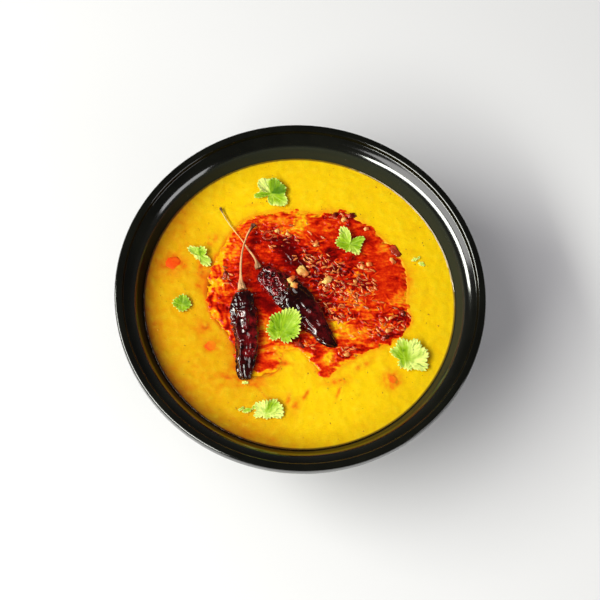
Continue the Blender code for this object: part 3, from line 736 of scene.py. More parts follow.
def dal_finish(settings):
    made, pattern, shader = new_finish("dal_yellow")
    warmth = pattern.attribute("warmth")
    crest = pattern.attribute("crest")
    grain = pattern.clouds(420.0, detail=4.0, roughness=0.6)
    fine = pattern.clouds(1500.0, detail=2.0)
    # warmth holds oil stains and also painted shade, orange-brown where the wall keeps the light off
    stirred = pattern.maths("ADD", warmth, pattern.between(grain, 0.3, 0.7, -0.05, 0.05))
    base = pattern.ramp(stirred, [
        (0.0, settings.yellow), (0.30, (0.93, 0.46, 0.003)),
        (0.62, settings.orange), (1.0, (0.42, 0.09, 0.002)),
    ])
    # painted highlight: the lentils' tops are painted paler, as if lit
    tops = pattern.between(crest, 0.35, 1.0)
    paler = pattern.maths("MULTIPLY", tops, pattern.between(grain, 0.35, 0.65), clamp=True)
    lit = pattern.blend(pattern.maths("MULTIPLY", paler, 0.45), base, settings.pale)
    husks = pattern.between(pattern.clouds(150.0, detail=3.0, roughness=0.6), 0.56, 0.74, 0.0, 0.36)
    lit = pattern.blend(husks, lit, (0.74, 0.40, 0.003))
    shade = pattern.between(fine, 0.25, 0.75, 0.90, 1.04)
    shade = pattern.maths("MULTIPLY", shade, pattern.attribute("shade"))
    toned = pattern.blend(1.0, lit, pattern.ramp(shade, [(0.0, 0.0), (1.0, 1.0)]), "MULTIPLY")
    dots = pattern.group("flecks", scale=620.0, size=0.17, share=0.045)["Mask"]
    dotted = pattern.blend(pattern.maths("MULTIPLY", dots, 0.6), toned, (0.22, 0.09, 0.004))
    pattern.feed(shader["Base Color"], dotted)
    film = pattern.group("wet film", scale=300.0, gloss=0.26, spread=0.22)
    pattern.feed(shader["Roughness"], film["Roughness"])
    pattern.feed(shader["Normal"], pattern.bump(grain, 0.00014, 0.45))
    shader["Specular IOR Level"].default_value = 0.12
    pattern.feed(shader["Coat Weight"], pattern.attribute("film"))
    shader["Coat Roughness"].default_value = 0.11
    shader["Coat IOR"].default_value = 2.4
    shader["Subsurface Weight"].default_value = 0.12
    shader["Subsurface Radius"].default_value = (1.0, 0.6, 0.05)
    shader["Subsurface Scale"].default_value = 0.003
    return made


def oil_finish(settings):
    made, pattern, shader = new_finish("chilli_oil")
    depth = pattern.attribute("depth")
    drawn_out = pattern.stretched((0.65, 1.35, 1.0))
    swirl = pattern.clouds(230.0, detail=5.0, roughness=0.62, distortion=0.9, where=drawn_out)
    fine = pattern.clouds(900.0, detail=3.0)
    mixed = pattern.maths("ADD", depth, pattern.between(swirl, 0.25, 0.75, -0.15, 0.15))
    mixed = pattern.maths("ADD", mixed, pattern.between(fine, 0.25, 0.75, -0.07, 0.07))
    tint = pattern.ramp(mixed, [
        (0.0, (0.97, 0.50, 0.004)), (0.13, settings.thin), (0.30, (0.93, 0.13, 0.004)),
        (0.46, settings.middle), (0.62, (0.52, 0.008, 0.001)), (0.80, (0.24, 0.002, 0.001)),
        (1.0, settings.deep),
    ])
    pattern.feed(shader["Base Color"], tint)
    film = pattern.group("wet film", scale=500.0, gloss=0.02, spread=0.11)
    pattern.feed(shader["Roughness"], film["Roughness"])
    pattern.feed(shader["Normal"], pattern.bump(swirl, 0.0003, 0.40))
    shine = pattern.between(pattern.attribute("wet"), 0.0, 1.0, 0.05, 0.45)
    pattern.feed(shader["Specular IOR Level"], shine)
    return made


def chilli_finish(settings):
    made, pattern, shader = new_finish("dried_chilli_skin")
    glow = pattern.attribute("glow")
    crease_shade = pattern.attribute("crease_shade")
    cells = {"Vector": pattern.place(), "Scale": 900.0}
    net = pattern.add("ShaderNodeTexVoronoi", cells, feature="DISTANCE_TO_EDGE")
    veins = pattern.between(net.outputs["Distance"], 0.0, 0.18)
    stains = pattern.clouds(260.0, detail=4.0, roughness=0.65)
    share = pattern.maths("MULTIPLY", glow, pattern.between(stains, 0.35, 0.62), clamp=True)
    base = pattern.blend(share, settings.skin, settings.glow)
    # painted shade: the skin is painted darker along the creases
    darker = pattern.blend(pattern.maths("MULTIPLY", crease_shade, 0.75, clamp=True), base, (0.004, 0.0006, 0.0008))
    pattern.feed(shader["Base Color"], darker)
    film = pattern.group("wet film", scale=700.0, gloss=0.04, spread=0.16)
    pattern.feed(shader["Roughness"], film["Roughness"])
    pattern.feed(shader["Normal"], pattern.bump(veins, 0.00007, 0.5))
    shader["Specular IOR Level"].default_value = 0.05
    shader["Coat Weight"].default_value = 1.0
    shader["Coat Roughness"].default_value = 0.05
    shader["Coat IOR"].default_value = 1.75
    return made


def stalk_finish(settings):
    made, pattern, shader = new_finish("dried_stem")
    brown = pattern.attribute("brown")
    fibres = pattern.attribute("fibre")
    grain = pattern.clouds(1100.0, detail=3.0)
    pale = pattern.blend(pattern.attribute("fresh"), settings.stalk, (0.90, 0.68, 0.22))
    # brown holds the stalks' browning and, on the left stalk, painted shade along its right side
    base = pattern.blend(brown, pale, (0.10, 0.022, 0.006))
    lines = pattern.maths("MULTIPLY", fibres, pattern.between(grain, 0.3, 0.7, 0.3, 1.0), clamp=True)
    pattern.feed(shader["Base Color"], pattern.blend(lines, base, (0.16, 0.05, 0.012)))
    pattern.feed(shader["Roughness"], pattern.between(grain, 0.2, 0.8, 0.35, 0.6))
    pattern.feed(shader["Normal"], pattern.bump(grain, 0.0001, 0.5))
    return made


def leaf_finish(settings):
    made, pattern, shader = new_finish("coriander_green")
    pale = pattern.attribute("pale")
    dark = pattern.attribute("dark")
    grain = pattern.clouds(900.0, detail=4.0, roughness=0.6)
    fine = pattern.clouds(2600.0, detail=2.0)
    patchy = pattern.between(grain, 0.3, 0.75, 0.0, 0.45)
    base = pattern.blend(patchy, settings.green, (0.27, 0.46, 0.006))
    # pale and dark carry painted light and shade as well as the leaf's own colour
    lighter = pattern.blend(pattern.maths("MULTIPLY", pale, 1.0, clamp=True), base, settings.pale)
    deeper = pattern.blend(pattern.maths("MULTIPLY", dark, 1.0, clamp=True), lighter, settings.dark)
    pattern.feed(shader["Base Color"], deeper)
    pattern.feed(shader["Roughness"], pattern.between(grain, 0.3, 0.7, 0.40, 0.55))
    shader["Specular IOR Level"].default_value = 0.15
    pattern.feed(shader["Normal"], pattern.bump(fine, 0.00005, 0.5))
    shader["Subsurface Weight"].default_value = 0.15
    shader["Subsurface Radius"].default_value = (0.5, 1.0, 0.1)
    shader["Subsurface Scale"].default_value = 0.001
    return made


def seed_finish(settings):
    made, pattern, shader = new_finish("cumin")
    rib = pattern.attribute("rib")
    tone = pattern.attribute("tone")
    grain = pattern.clouds(1500.0, detail=3.0)
    # rib is light on the seeds' upper sides and dark below: partly oil on the lower sides, partly painted
    # light and shade
    share = pattern.maths("MULTIPLY", rib, tone, clamp=True)
    base = pattern.blend(share, settings.dark, settings.light)
    darker = pattern.between(grain, 0.45, 0.8, 0.0, 0.4)
    pattern.feed(shader["Base Color"], pattern.blend(darker, base, settings.dark))
    film = pattern.group("wet film", scale=1200.0, gloss=0.12, spread=0.2)
    pattern.feed(shader["Roughness"], film["Roughness"])
    pattern.feed(shader["Normal"], pattern.bump(grain, 0.00006, 0.5))
    shader["Coat Weight"].default_value = 0.4
    shader["Coat Roughness"].default_value = 0.08
    return made


def bit_finish(name, light, brown, gloss=0.15):
    """A cooked bit: light inside, and brown where its own number says so."""
    made, pattern, shader = new_finish(name)
    toast = pattern.attribute("toast")
    clouds = pattern.clouds(500.0, detail=4.0, roughness=0.6)
    share = pattern.maths("ADD", toast, pattern.between(clouds, 0.3, 0.7, -0.2, 0.2), clamp=True)
    pattern.feed(shader["Base Color"], pattern.blend(share, light, brown))
    shader["Specular IOR Level"].default_value = 0.6 - gloss
    film = pattern.group("wet film", scale=800.0, gloss=gloss, spread=0.2)
    pattern.feed(shader["Roughness"], film["Roughness"])
    pattern.feed(shader["Normal"], pattern.bump(clouds, 0.0002, 0.5))
    return made


# ---------------------------------------------------------------- the bowl
def inner_wall(count, inset=0.0):
    """The inside of the bowl, from the middle of its floor up to the shoulder, moved inwards by inset."""
    top = (WALL_TOP_RADIUS, LEDGE_HEIGHT - SHOULDER_ROUND)
    curve = bezier((0.0, FLOOR_HEIGHT), *INNER_HANDLES, top, count)
    along = np.gradient(curve, axis=0)
    along /= np.linalg.norm(along, axis=1)[:, None]
    moved = curve + inset * np.stack([-along[:, 1], along[:, 0]], axis=1)
    moved[:, 0] = np.maximum(moved[:, 0], 0)
    return moved


def rim_profile():
    """From the shoulder across the ledge, up the step, over the lip and down its outer band."""
    corner = (WALL_TOP_RADIUS + SHOULDER_ROUND, LEDGE_HEIGHT - SHOULDER_ROUND)
    bend = arc(corner, SHOULDER_ROUND, 90 + LEDGE_SLOPE, 90 + LEDGE_SLOPE, 0)[0]
    slope = np.array((1.0, math.tan(math.radians(LEDGE_SLOPE))))
    ledge_end = bend + slope * (LEDGE_OUTER - bend[0])
    start, top = inner_wall(WALL_STEPS)[-2:]
    step_foot = ledge_end - 0.5 * slope
    shoulder = bezier(start, start + 1.1 * (top - start), ledge_end - 4.4 * slope, step_foot, 22)[1:-1]
    lip = arc((LIP_INNER, BOWL_HEIGHT - LIP_ROUND), LIP_ROUND, 145, 90, 8)
    step = bezier(step_foot, ledge_end, ledge_end + (0.15, 0.45), lip[0], 6)[:-1]
    band = arc((RIM_RADIUS - BAND_ROUND, BOWL_HEIGHT - BAND_ROUND), BAND_ROUND, 90, 0, 10)
    under = arc((RIM_RADIUS - BAND_ROUND, BAND_LOW), BAND_ROUND, 0, -70, 6)
    end = np.array([(RIM_RADIUS - BAND_UNDERCUT, BAND_LOW - 2 * BAND_ROUND)])
    return np.concatenate([shoulder, step, lip, band, under, end])


def body_profile():
    """The outside from under the rim's band down to the foot, and the recess under the bowl."""
    flank = bezier(OUTER_TOP, *OUTER_HANDLES, (FOOT_OUTER + 2 * FOOT_ROUND, FOOT_HEIGHT + FOOT_ROUND), 24)
    hollow = arc((FOOT_OUTER + FOOT_ROUND, FOOT_HEIGHT - FOOT_ROUND), FOOT_ROUND, 120, 180, 3)
    outer = arc((FOOT_OUTER - FOOT_ROUND, FOOT_ROUND), FOOT_ROUND, 0, -90, 5)
    inner = arc((FOOT_INNER + FOOT_ROUND, FOOT_ROUND), FOOT_ROUND, -90, -180, 5)
    recess = np.array([
        (FOOT_INNER, UNDERSIDE_HEIGHT - RECESS_BEVEL), (FOOT_INNER - RECESS_BEVEL, UNDERSIDE_HEIGHT),
        (0.0, UNDERSIDE_HEIGHT),
    ])
    return np.concatenate([flank, hollow, outer, inner, recess])


def glaze_gloss(profile):
    """How glossy the glaze is along the bowl's profile: dull on the wall and on the step."""
    radius, height = profile.T
    inside = np.arange(len(profile)) < radius.argmax()
    shoulder = ease((height - LEDGE_HEIGHT + GLOSS_REACH) / 3.0)
    step = (radius > LEDGE_OUTER - 0.2) & (radius < LIP_INNER - 0.90)
    return np.where(inside, shoulder * (1 - step), OUTSIDE_GLOSS)


def painted_wall_light(profile, segments):
    """Painted light on the wall below the shoulder, brightest on the side that faces the window."""
    radius, height = profile.T
    inside = np.arange(len(profile)) < radius.argmax()
    wall = inside * (1 - ease((height - LEDGE_HEIGHT + LIT_WALL_REACH) / 1.2))
    lit = ease(0.55 + 0.75 * np.cos(full_turn(segments) - math.radians(45)))
    return wall[:, None] * lit


def turned(name, profile, segments, finish, nodes):
    """A solid of revolution whose profile starts and ends on the axis."""
    turns = full_turn(segments)
    rings = np.zeros((len(profile) - 2, segments, 3))
    rings[..., 0] = profile[1:-1, :1] * np.cos(turns)
    rings[..., 1] = profile[1:-1, :1] * np.sin(turns)
    rings[..., 2] = profile[1:-1, 1:]
    points, faces = skin(rings)
    points[-2] = (0, 0, profile[0, 1])
    points[-1] = (0, 0, profile[-1, 1])
    return new_piece(name, points, faces, finish, nodes)


def build_bowl(settings):
    profile = np.concatenate([inner_wall(WALL_STEPS)[:-1], rim_profile(), body_profile()])
    piece = turned("bowl_glazed", profile, settings.segments, glaze_finish(settings), ["bowl"])
    gloss = glaze_gloss(profile)
    paint(piece, "gloss", np.concatenate([np.repeat(gloss[1:-1], settings.segments), gloss[[0, -1]]]))
    lit_wall = painted_wall_light(profile, settings.segments)
    paint(piece, "lit_wall", with_ends(lit_wall[1:-1]))


# ---------------------------------------------------------------- the dal
def dal_relief(x, y, lumps):
    """Height of the lentils above the level dal, and how close each place is to a crest."""
    soft = hills(x, y, 4.4, 1, 2)
    broad = hills(x, y, 13.0, 2, 2)
    crumbs = crests(x, y, 2.6, 3) ** 2
    height = lumps * (0.9 * soft + 0.5 * broad + 0.55 * crumbs * (0.5 + 0.5 * hills(x, y, 9.0, 4)))
    return height, np.clip(0.5 + 0.6 * soft + 0.25 * broad, 0, 1)


def window_side(x, y):
    """0 on most of the dal, rising to 1 on the side where the wall keeps the light off."""
    return ease((-x - 0.35 * y - 10.0) / 45.0)


def shore_line(x, y):
    """0 away from the wall, rising to 1 at the wall on the window's side."""
    radius = np.hypot(x, y)
    facing_window = 0.5 - 0.5 * (0.93 * x + 0.36 * y) / np.maximum(radius, 1.0)
    return ease((radius - 68.0) / 17.0) ** 1.5 * facing_window**2


def dal_warmth(x, y, pool):
    """0 for clean yellow dal, rising through orange to brown, with oil stains, and with painted shade on the
    window's side and along the wall there.
    """
    rim_line = ease((np.hypot(x, y) - DAL_EDGE + 1.6) / 1.4)
    halo_width = 0.7 + 2.2 * np.clip(0.3 + hills(x, y, 8.0, 8), 0, 1)
    halo = 0.42 * np.exp(-np.maximum(-pool, 0.0) / halo_width)
    clouds = 0.07 * hills(x, y, 16.0, 5, 3) + 0.06 * hills(x, y, 4.0, 6, 2)
    stained = patches(x, y, STAINS) * (0.8 + 0.6 * hills(x, y, 2.6, 7, 2))
    # painted shade: orange-brown on the side and at the wall where the wall keeps the light off
    side = 0.28 * window_side(x, y) + 0.22 * shore_line(x, y)
    return side + 0.12 * rim_line + halo + clouds + np.maximum(stained, 0)


def dal_top(x, y, radius, pool, lumps):
    """The dal's surface as rings of points, and how close each point is to a crest."""
    height, crest = dal_relief(x, y, lumps)
    climb = EDGE_RISE * np.clip((radius - DAL_EDGE + EDGE_REACH) / EDGE_REACH, 0, 1) ** 2
    uneven = 1 - shore_line(x, y) * np.clip(0.3 - 0.7 * hills(x, y, 2.4, 14, 2), 0, 0.8)
    trough = TROUGH_DEPTH * ease((pool - 0.8) / 2.5)
    calm = 1 - 0.8 * ease((radius - DAL_EDGE + 2.0) / 2.0)
    return np.stack([x, y, SOUP_LEVEL + height * calm + climb * uneven - trough], axis=2), crest


def dal_underside(turns):
    """Rings just inside the bowl's wall, from the floor up to a little below the dal's surface."""
    return np.array([
        np.stack([r * np.cos(turns), r * np.sin(turns), np.full_like(turns, h)], axis=1)
        for r, h in inner_wall(WALL_STEPS, WALL_GAP) if r > 1 and h < SOUP_LEVEL - 0.6
    ])


def dal_shade(x, y, radius):
    """How light the dal is: darker on the window's side, and most of all where it meets the wall."""
    shade = (1 - 0.14 * window_side(x, y)) * (1 - 0.62 * shore_line(x, y))
    return shade * (1 - 0.75 * ease((radius - DAL_EDGE + 1.1) / 0.5))


def build_dal(settings):
    turns = full_turn(DAL_SIDES)
    shore = DAL_EDGE - np.linspace(0.0, 2.4, 10)
    radius = np.concatenate([shore, np.linspace(shore[-1], 0.4, DAL_ROWS)[1:]])[:, None]
    x, y = radius * np.cos(turns), radius * np.sin(turns)
    pool = depth_inside(x.ravel(), y.ravel(), pool_outline()).reshape(x.shape)
    top, crest = dal_top(x, y, radius, pool, settings.lumps / MM)
    below = dal_underside(turns)
    points, faces = skin(np.concatenate([below, top]))
    piece = new_piece("dal_surface", points, faces, dal_finish(settings), ["dal"])
    film = np.tile(ease((radius - DAL_EDGE + 1.6) / 0.8), (1, DAL_SIDES))
    for name, hidden, shown, end in (
        ("warmth", 0.3, dal_warmth(x, y, pool), 0.0), ("crest", 0.0, crest, 0.0),
        ("film", 0.0, film, 0.0), ("shade", 0.6, dal_shade(x, y, radius), 1.0),
    ):
        values = np.concatenate([np.full(below.shape[:2], hidden), shown])
        paint(piece, name, with_ends(values, end))


def build_specks(settings):
    """Flecks of ground spice on the dal, thicker near the pool."""
    dice = np.random.default_rng(11)
    outline = pool_outline()
    parts = []
    while len(parts) < settings.specks:
        x, y = dice.uniform(-SPECK_REACH - 2, SPECK_REACH + 2, 2)
        depth = depth_inside(np.array([x]), np.array([y]), outline)[0]
        if math.hypot(x, y) > SPECK_REACH or depth > -0.5:
            continue
        if dice.random() > 0.35 + 0.65 * math.exp(depth / 8):
            continue
        size = dice.uniform(0.4, 1.0)
        points, faces = lump((size, size * 0.7, 0.4), dice.uniform(0, 50), 0.5, 0.9, 2)
        parts.append((placed(points, x, y, SOUP_LEVEL + 0.06, dice.uniform(0, 360)), faces))
    points, faces, sizes = joined(parts)
    finish = bit_finish("ground_spice", (0.70, 0.38, 0.006), (0.42, 0.17, 0.005), 0.35)
    piece = new_piece("spice_flecks", points, faces, finish)
    paint(piece, "toast", np.repeat(dice.uniform(0, 1, len(sizes)), sizes))


# ---------------------------------------------------------------- the oil
def oil_edge(x, y):
    """Distance inside the ragged edge of the pool."""
    depth = depth_inside(x, y, pool_outline())
    return depth + 2.4 * hills(0.7 * x, 1.3 * y, 4.2, 21, 3) + 2.2 * hills(x, y, 12.0, 22) - 0.2


def sunk_in_oil(count, seed, beds, long_mm, wide_mm, lean):
    """Places where seeds or lentils lie just under the oil's surface."""
    dice = np.random.default_rng(seed)
    places = []
    shares = np.array([bed.amount for bed in beds])
    for number in dice.choice(len(beds), count, p=shares / shares.sum()):
        bed = beds[number]
        along, across = dice.normal(0, 0.62, 2) * (bed.long, bed.wide)
        x, y = spot_in(bed, along, across)
        size = dice.uniform(0.7, 1.2)
        turn = dice.normal(*lean)
        places.append(Patch(x, y, size * long_mm, size * wide_mm, turn, dice.uniform(0.5, 1.2)))
    return places


def under_oil(x, y):
    """How much a seed, a wider band around the seeds, or a lentil shows at each place."""
    seeds = sunk_in_oil(SUNK_SEEDS, 31, SEED_BEDS, 1.8, 0.42, (-22, 45))
    bands = [place._replace(wide=0.95, long=2.2) for place in seeds]
    lentils = sunk_in_oil(SUNK_LENTILS, 32, LENTIL_BEDS, 1.5, 1.1, (0, 90))
    return [np.clip(patches(x, y, places), 0, 1) for places in (seeds, bands, lentils)]


def rippled_share(x, y):
    """1 where the oil is rippled and streaked, and less where it is still."""
    return 1 - 0.75 * np.clip(patches(x, y, STILL_OIL), 0, 1)


def oil_depth(x, y, edge, below):
    """0 where the dal shines through the oil, and 1 where it is darkest."""
    seeds, bands, lentils = below
    drift = 1.6 * hills(x, y, 9.0, 33)
    along, across = 0.62 * x + drift, 1.45 * y + drift
    lively = 0.26 * hills(along, across, 5.5, 23, 3) + 0.20 * hills(along, across, 2.0, 24, 2)
    left = ease((-34 - x) / 8)
    streaks = 0.60 * left * (crests(1.35 * x + 0.35 * y, 0.55 * y, 4.6, 25) - 0.42)
    middle = 0.52 - 0.20 * left + 0.10 * np.exp(-(((x - 12) / 22) ** 2 + ((y - 14) / 20) ** 2))
    rippled = rippled_share(x, y)
    loose = np.clip(patches(x, y, LOOSE_EDGE), 0, 1)
    thinning = 0.10 + 0.55 * loose + 0.5 * ease(0.5 + 1.1 * hills(x, y, 9.0, 29))
    shore = (1 - ease(edge / (1.8 + 3.0 * loose))) * thinning
    value = middle + patches(x, y, THIN_OIL) + patches(x, y, DEEP_OIL) + lively * rippled + streaks
    return np.clip(value - shore + 0.24 * bands - 0.46 * seeds - 0.22 * lentils * rippled, 0.02, 1.0)


def oil_height(x, y, edge, ripple, below=None):
    """The height of the oil's surface, raised over the seeds and lentils below it where they are given."""
    waves = 0.8 * hills(x, y, 2.2, 26, 2) + 0.7 * hills(x, y, 6.0, 27) + 0.7 * crests(x, y, 3.0, 28) - 0.3
    if below:
        waves = 0.7 * waves + below[0] + 0.8 * below[2]
    rise = ease((edge + 0.1) / 3.4)
    full = OIL_TOP - SOUP_LEVEL + SHORE_DEPTH
    return SOUP_LEVEL - SHORE_DEPTH + full * rise + ripple * waves * rippled_share(x, y) * rise


def without_holes(mask):
    """The mask with every hole filled that the outside can't reach."""
    outside = np.zeros_like(mask)
    outside[0, :] = outside[-1, :] = outside[:, 0] = outside[:, -1] = True
    while True:
        grown = outside.copy()
        grown[1:] |= outside[:-1]
        grown[:-1] |= outside[1:]
        grown[:, 1:] |= outside[:, :-1]
        grown[:, :-1] |= outside[:, 1:]
        grown &= ~mask
        if (grown == outside).all():
            return ~outside
        outside = grown


def wet_cells(edge):
    """The grid cells that lie in the pool, the points that they use, and those on its shore."""
    wet = without_holes(edge > 0)
    cells = wet[:-1, :-1] & wet[1:, :-1] & wet[:-1, 1:] & wet[1:, 1:]
    used = np.zeros_like(wet)
    surrounded = np.ones_like(wet)
    for down, over in ((0, 0), (0, 1), (1, 0), (1, 1)):
        used[down : down + cells.shape[0], over : over + cells.shape[1]] |= cells
        surrounded &= np.pad(cells, ((down, 1 - down), (over, 1 - over)))
    return cells, used, used & ~surrounded


def moved_to_edge(x, y, edge, shore, pitch):
    """The grid's places, with those on the shore moved onto the pool's edge."""
    slope_y, slope_x = np.gradient(edge, pitch)
    steep = np.maximum(slope_x**2 + slope_y**2, 0.05)
    limit = 0.7 * pitch
    back_x = np.clip(-edge * slope_x / steep, -limit, limit)
    back_y = np.clip(-edge * slope_y / steep, -limit, limit)
    return np.where(shore, x + back_x, x), np.where(shore, y + back_y, y)


def build_oil(settings):
    pitch = settings.pitch / MM
    x, y = np.meshgrid(np.arange(*POOL_COLUMNS, pitch), np.arange(*POOL_ROWS, pitch))
    edge = oil_edge(x.ravel(), y.ravel()).reshape(x.shape)
    cells, used, shore = wet_cells(edge)
    x, y = moved_to_edge(x, y, edge, shore, pitch)
    height = oil_height(x, y, np.where(shore, 0.0, edge), settings.ripple / MM, under_oil(x, y))
    numbers = np.full(used.shape, -1)
    numbers[used] = np.arange(used.sum())
    points = np.stack([x[used], y[used], height[used]], axis=1)
    corners = (numbers[:-1, :-1], numbers[:-1, 1:], numbers[1:, 1:], numbers[1:, :-1])
    faces = np.stack([corner[cells] for corner in corners], axis=1).tolist()
    piece = new_piece("chilli_oil_pool", points, faces, oil_finish(settings), ["tadka_oil"])
    close_below(piece, POOL_SIDE)
    places = np.empty(len(piece.data.vertices) * 3)
    piece.data.vertices.foreach_get("co", places)
    x, y = places.reshape(-1, 3)[:, :2].T / MM
    rim = oil_edge(x, y)
    paint(piece, "depth", oil_depth(x, y, rim, under_oil(x, y)))
    paint(piece, "wet", ease((rim - 0.4) / 2.6))


def corner_numbers(item):
    """The numbers of the corners of an edge or a face, lowest first: an order that is the same each run."""
    return sorted(corner.index for corner in item.verts)


def close_below(piece, depth):
    """Gives an open sheet a side that ends depth (mm) below the dal's level, and a flat floor."""
    tool = bmesh.new()
    tool.from_mesh(piece.data)
    rim = [edge for edge in tool.edges if edge.is_boundary]
    grown = bmesh.ops.extrude_edge_only(tool, edges=rim)["geom"]
    for corner in grown:
        if isinstance(corner, bmesh.types.BMVert):
            corner.co.z = (SOUP_LEVEL - depth) * MM
    bottom = [edge for edge in grown if isinstance(edge, bmesh.types.BMEdge)]
    tool.verts.index_update()
    bottom.sort(key=corner_numbers)
    bmesh.ops.holes_fill(tool, edges=bottom, sides=0)
    bmesh.ops.recalc_face_normals(tool, faces=tool.faces)
    for number, face in enumerate(sorted(tool.faces, key=corner_numbers)):
        face.index = number
    tool.faces.sort()
    tool.to_mesh(piece.data)
    tool.free()
    piece.data.shade_smooth()


def surface_at(x, y):
    """Height of the oil or the dal at one place."""
    x, y = np.array([x]), np.array([y])
    edge = oil_edge(x, y)
    if edge[0] < 0:
        return SOUP_LEVEL
    return float(oil_height(x, y, edge, bpy.context.scene.dal_oil.ripple / MM)[0])


# ---------------------------------------------------------------- the dried chillies
def swept(path, sizes, sides, shape):
    """Rings around a path. shape gives each point's share of the radius from its angle and way along."""
    along = np.zeros_like(path)
    along[1:-1] = path[2:] - path[:-2]
    along[0], along[-1] = path[1] - path[0], path[-1] - path[-2]
    along /= np.linalg.norm(along, axis=1)[:, None]
    side = np.cross(along, (0, 0, 1.0))
    side /= np.linalg.norm(side, axis=1)[:, None]
    up = np.cross(side, along)
    way = np.concatenate([[0], np.cumsum(np.linalg.norm(np.diff(path, axis=0), axis=1))])
    turns = np.tile(full_turn(sides), (len(path), 1))
    ways = np.tile(way[:, None], (1, sides))
    share = shape(turns, ways, way[-1])
    across = side[:, None] * (np.cos(turns) * sizes[:, :1] * share)[..., None]
    rise = up[:, None] * (np.sin(turns) * sizes[:, 1:] * share)[..., None]
    return path[:, None] + across + rise, turns, ways


def bent_ways(turns, ways, seed):
    """The way down a pod, bent so that its creases wander."""
    return ways + 1.2 * around(turns, ways, 1.2, 6.0, seed + 23)


def net_noise(turns, bent, seed):
    """Noise that crosses 0 along the lines of a pod's fine net."""
    return around(turns, bent, 2.8, 3.0, seed + 13)


def netted_head(share, netted):
    """1 on the head of a netted pod, and 0 further down or on any other pod."""
    return netted * (1 - ease((share - 0.28) / 0.12))


def pod_shape(depth, seed, netted):
    """The wrinkled section of a pod: broad folds, long creases, cross wrinkles and a fine net."""
    def shape(turns, ways, length_mm):
        share = ways / length_mm
        phase = FOLDS * turns + FOLD_SWAY * np.sin(FOLDS * share) + FOLD_TWIST * share
        folds = FOLD_DEPTH * (0.5 + 0.5 * np.sin(phase))
        bent = bent_ways(turns, ways, seed)
        creases = np.abs(around(turns, bent, 1.7, 8.0, seed)) * 1.7
        crosswise = np.abs(around(turns, bent, 0.7, 3.4, seed + 7)) * 1.8
        net = np.abs(net_noise(turns, bent, seed)) * 1.8
        patchy = ease(0.5 + 1.8 * around(turns, ways, 1.0, 11.0, seed + 19))
        head = netted_head(share, netted)
        sunk = (0.66 - 0.3 * head) * creases + (0.62 - 0.3 * head) * crosswise * patchy
        sunk += (0.20 + 0.9 * head) * net
        return 1 - folds - depth * sunk
    return shape


def build_pod(name, node, stations, seed, netted, settings, finish, glow_at):
    path = through([(s.x, s.y, SOUP_LEVEL + s.height) for s in stations], POD_STEPS)
    sizes = through([(s.width / 2, s.thickness / 2) for s in stations], POD_STEPS)
    rings, turns, ways = swept(path, sizes, POD_SIDES, pod_shape(settings.wrinkle, seed, netted))
    points, faces = skin(rings)
    piece = new_piece(name, points, faces, finish, [node])
    share = ways / ways.max()
    # painted shade: where a noise close to that of the long creases is high, the skin is painted darker
    crease_shade = np.clip(2.2 * np.abs(around(turns, ways, 1.5, 9.0, seed)) - 0.35, 0, 1)
    # painted shade on the netted head: the glow stays on the net's ridges and is taken from the hollows
    # between them
    lines = np.exp(-((net_noise(turns, bent_ways(turns, ways, seed), seed) / 0.13) ** 2))
    head = netted_head(share, netted)
    glow = glow_at(share, turns) * (1 - head * (0.75 - 1.3 * lines))
    paint(piece, "glow", with_ends(glow))
    paint(piece, "crease_shade", with_ends(crease_shade))


def left_glow(share, turns):
    """The left pod is maroon along its middle and black at both ends."""
    middle = ease((share - 0.16) / 0.2) * (1 - ease((share - 0.66) / 0.2))
    return 0.15 + 0.75 * middle * (0.6 + 0.4 * np.cos(turns - math.radians(150)))


def right_glow(share, turns):
    """The right pod is red near its stalk, black across the middle and maroon towards its tip."""
    head = 1 - ease((share - 0.22) / 0.16)
    tail = ease((share - 0.45) / 0.15) * (1 - ease((share - 0.86) / 0.1))
    return 0.05 + 1.5 * head + 0.45 * tail


def stem_shape(seed, calyx_length, thin):
    """The section of a stalk: a ribbed calyx at the pod, then ribs and knots, and a frayed end."""
    def shape(turns, ways, length_mm):
        calyx = np.exp(-((ways / calyx_length) ** 2))
        ribs = 0.07 * np.cos(5 * turns + 0.1 * ways) + 0.18 * calyx * np.cos(7 * turns)
        knots = 0.20 * around(turns, ways, 0.8, 3.0, seed) + 0.10 * around(turns, ways, 2.5, 6.0, seed + 3)
        frayed = ease((ways - length_mm + 3.0) / 3.0) * (0.25 + 1.0 * around(turns, ways, 1.6, 1.3, seed + 5))
        slim = 0.36 * thin * ease((ways / length_mm - 0.3) / 0.2)
        lumps = 0.30 * calyx * around(turns, ways, 1.5, 1.6, seed + 8)
        return 0.74 - slim + lumps + 0.75 * calyx * ease(ways / 3.0) + 0.1 * calyx + ribs + knots + frayed
    return shape


def build_stem(name, node, stations, seed, calyx_length, thin, finish, brown_and_shade_at):
    path = through([(s.x, s.y, SOUP_LEVEL + s.height) for s in stations], STEM_STEPS)
    radii = through([(s.radius, s.radius) for s in stations], STEM_STEPS)
    rings, turns, ways = swept(path, radii, STEM_SIDES, stem_shape(seed, calyx_length, thin))
    points, faces = skin(rings)
    piece = new_piece(name, points, faces, finish, [node])
    fibre = np.clip(0.5 + 1.6 * around(turns, ways, 2.6, 12.0, seed + 11), 0, 1) ** 3
    # darker too in the grooves between the calyx's ribs
    fibre += (0.5 - 0.5 * np.cos(7 * turns)) ** 3 * np.exp(-((ways / calyx_length) ** 2)) * 1.3
    share = ways / ways.max()
    brown = np.clip(brown_and_shade_at(share, turns) + 0.35 * around(turns, ways, 0.8, 4.0, seed + 17), 0, 1)
    paint(piece, "fibre", with_ends(0.7 * fibre, 1.0))
    paint(piece, "brown", with_ends(brown, 1.0))
    paint(piece, "fresh", with_ends(ease((share - 0.35) / 0.15) * thin))


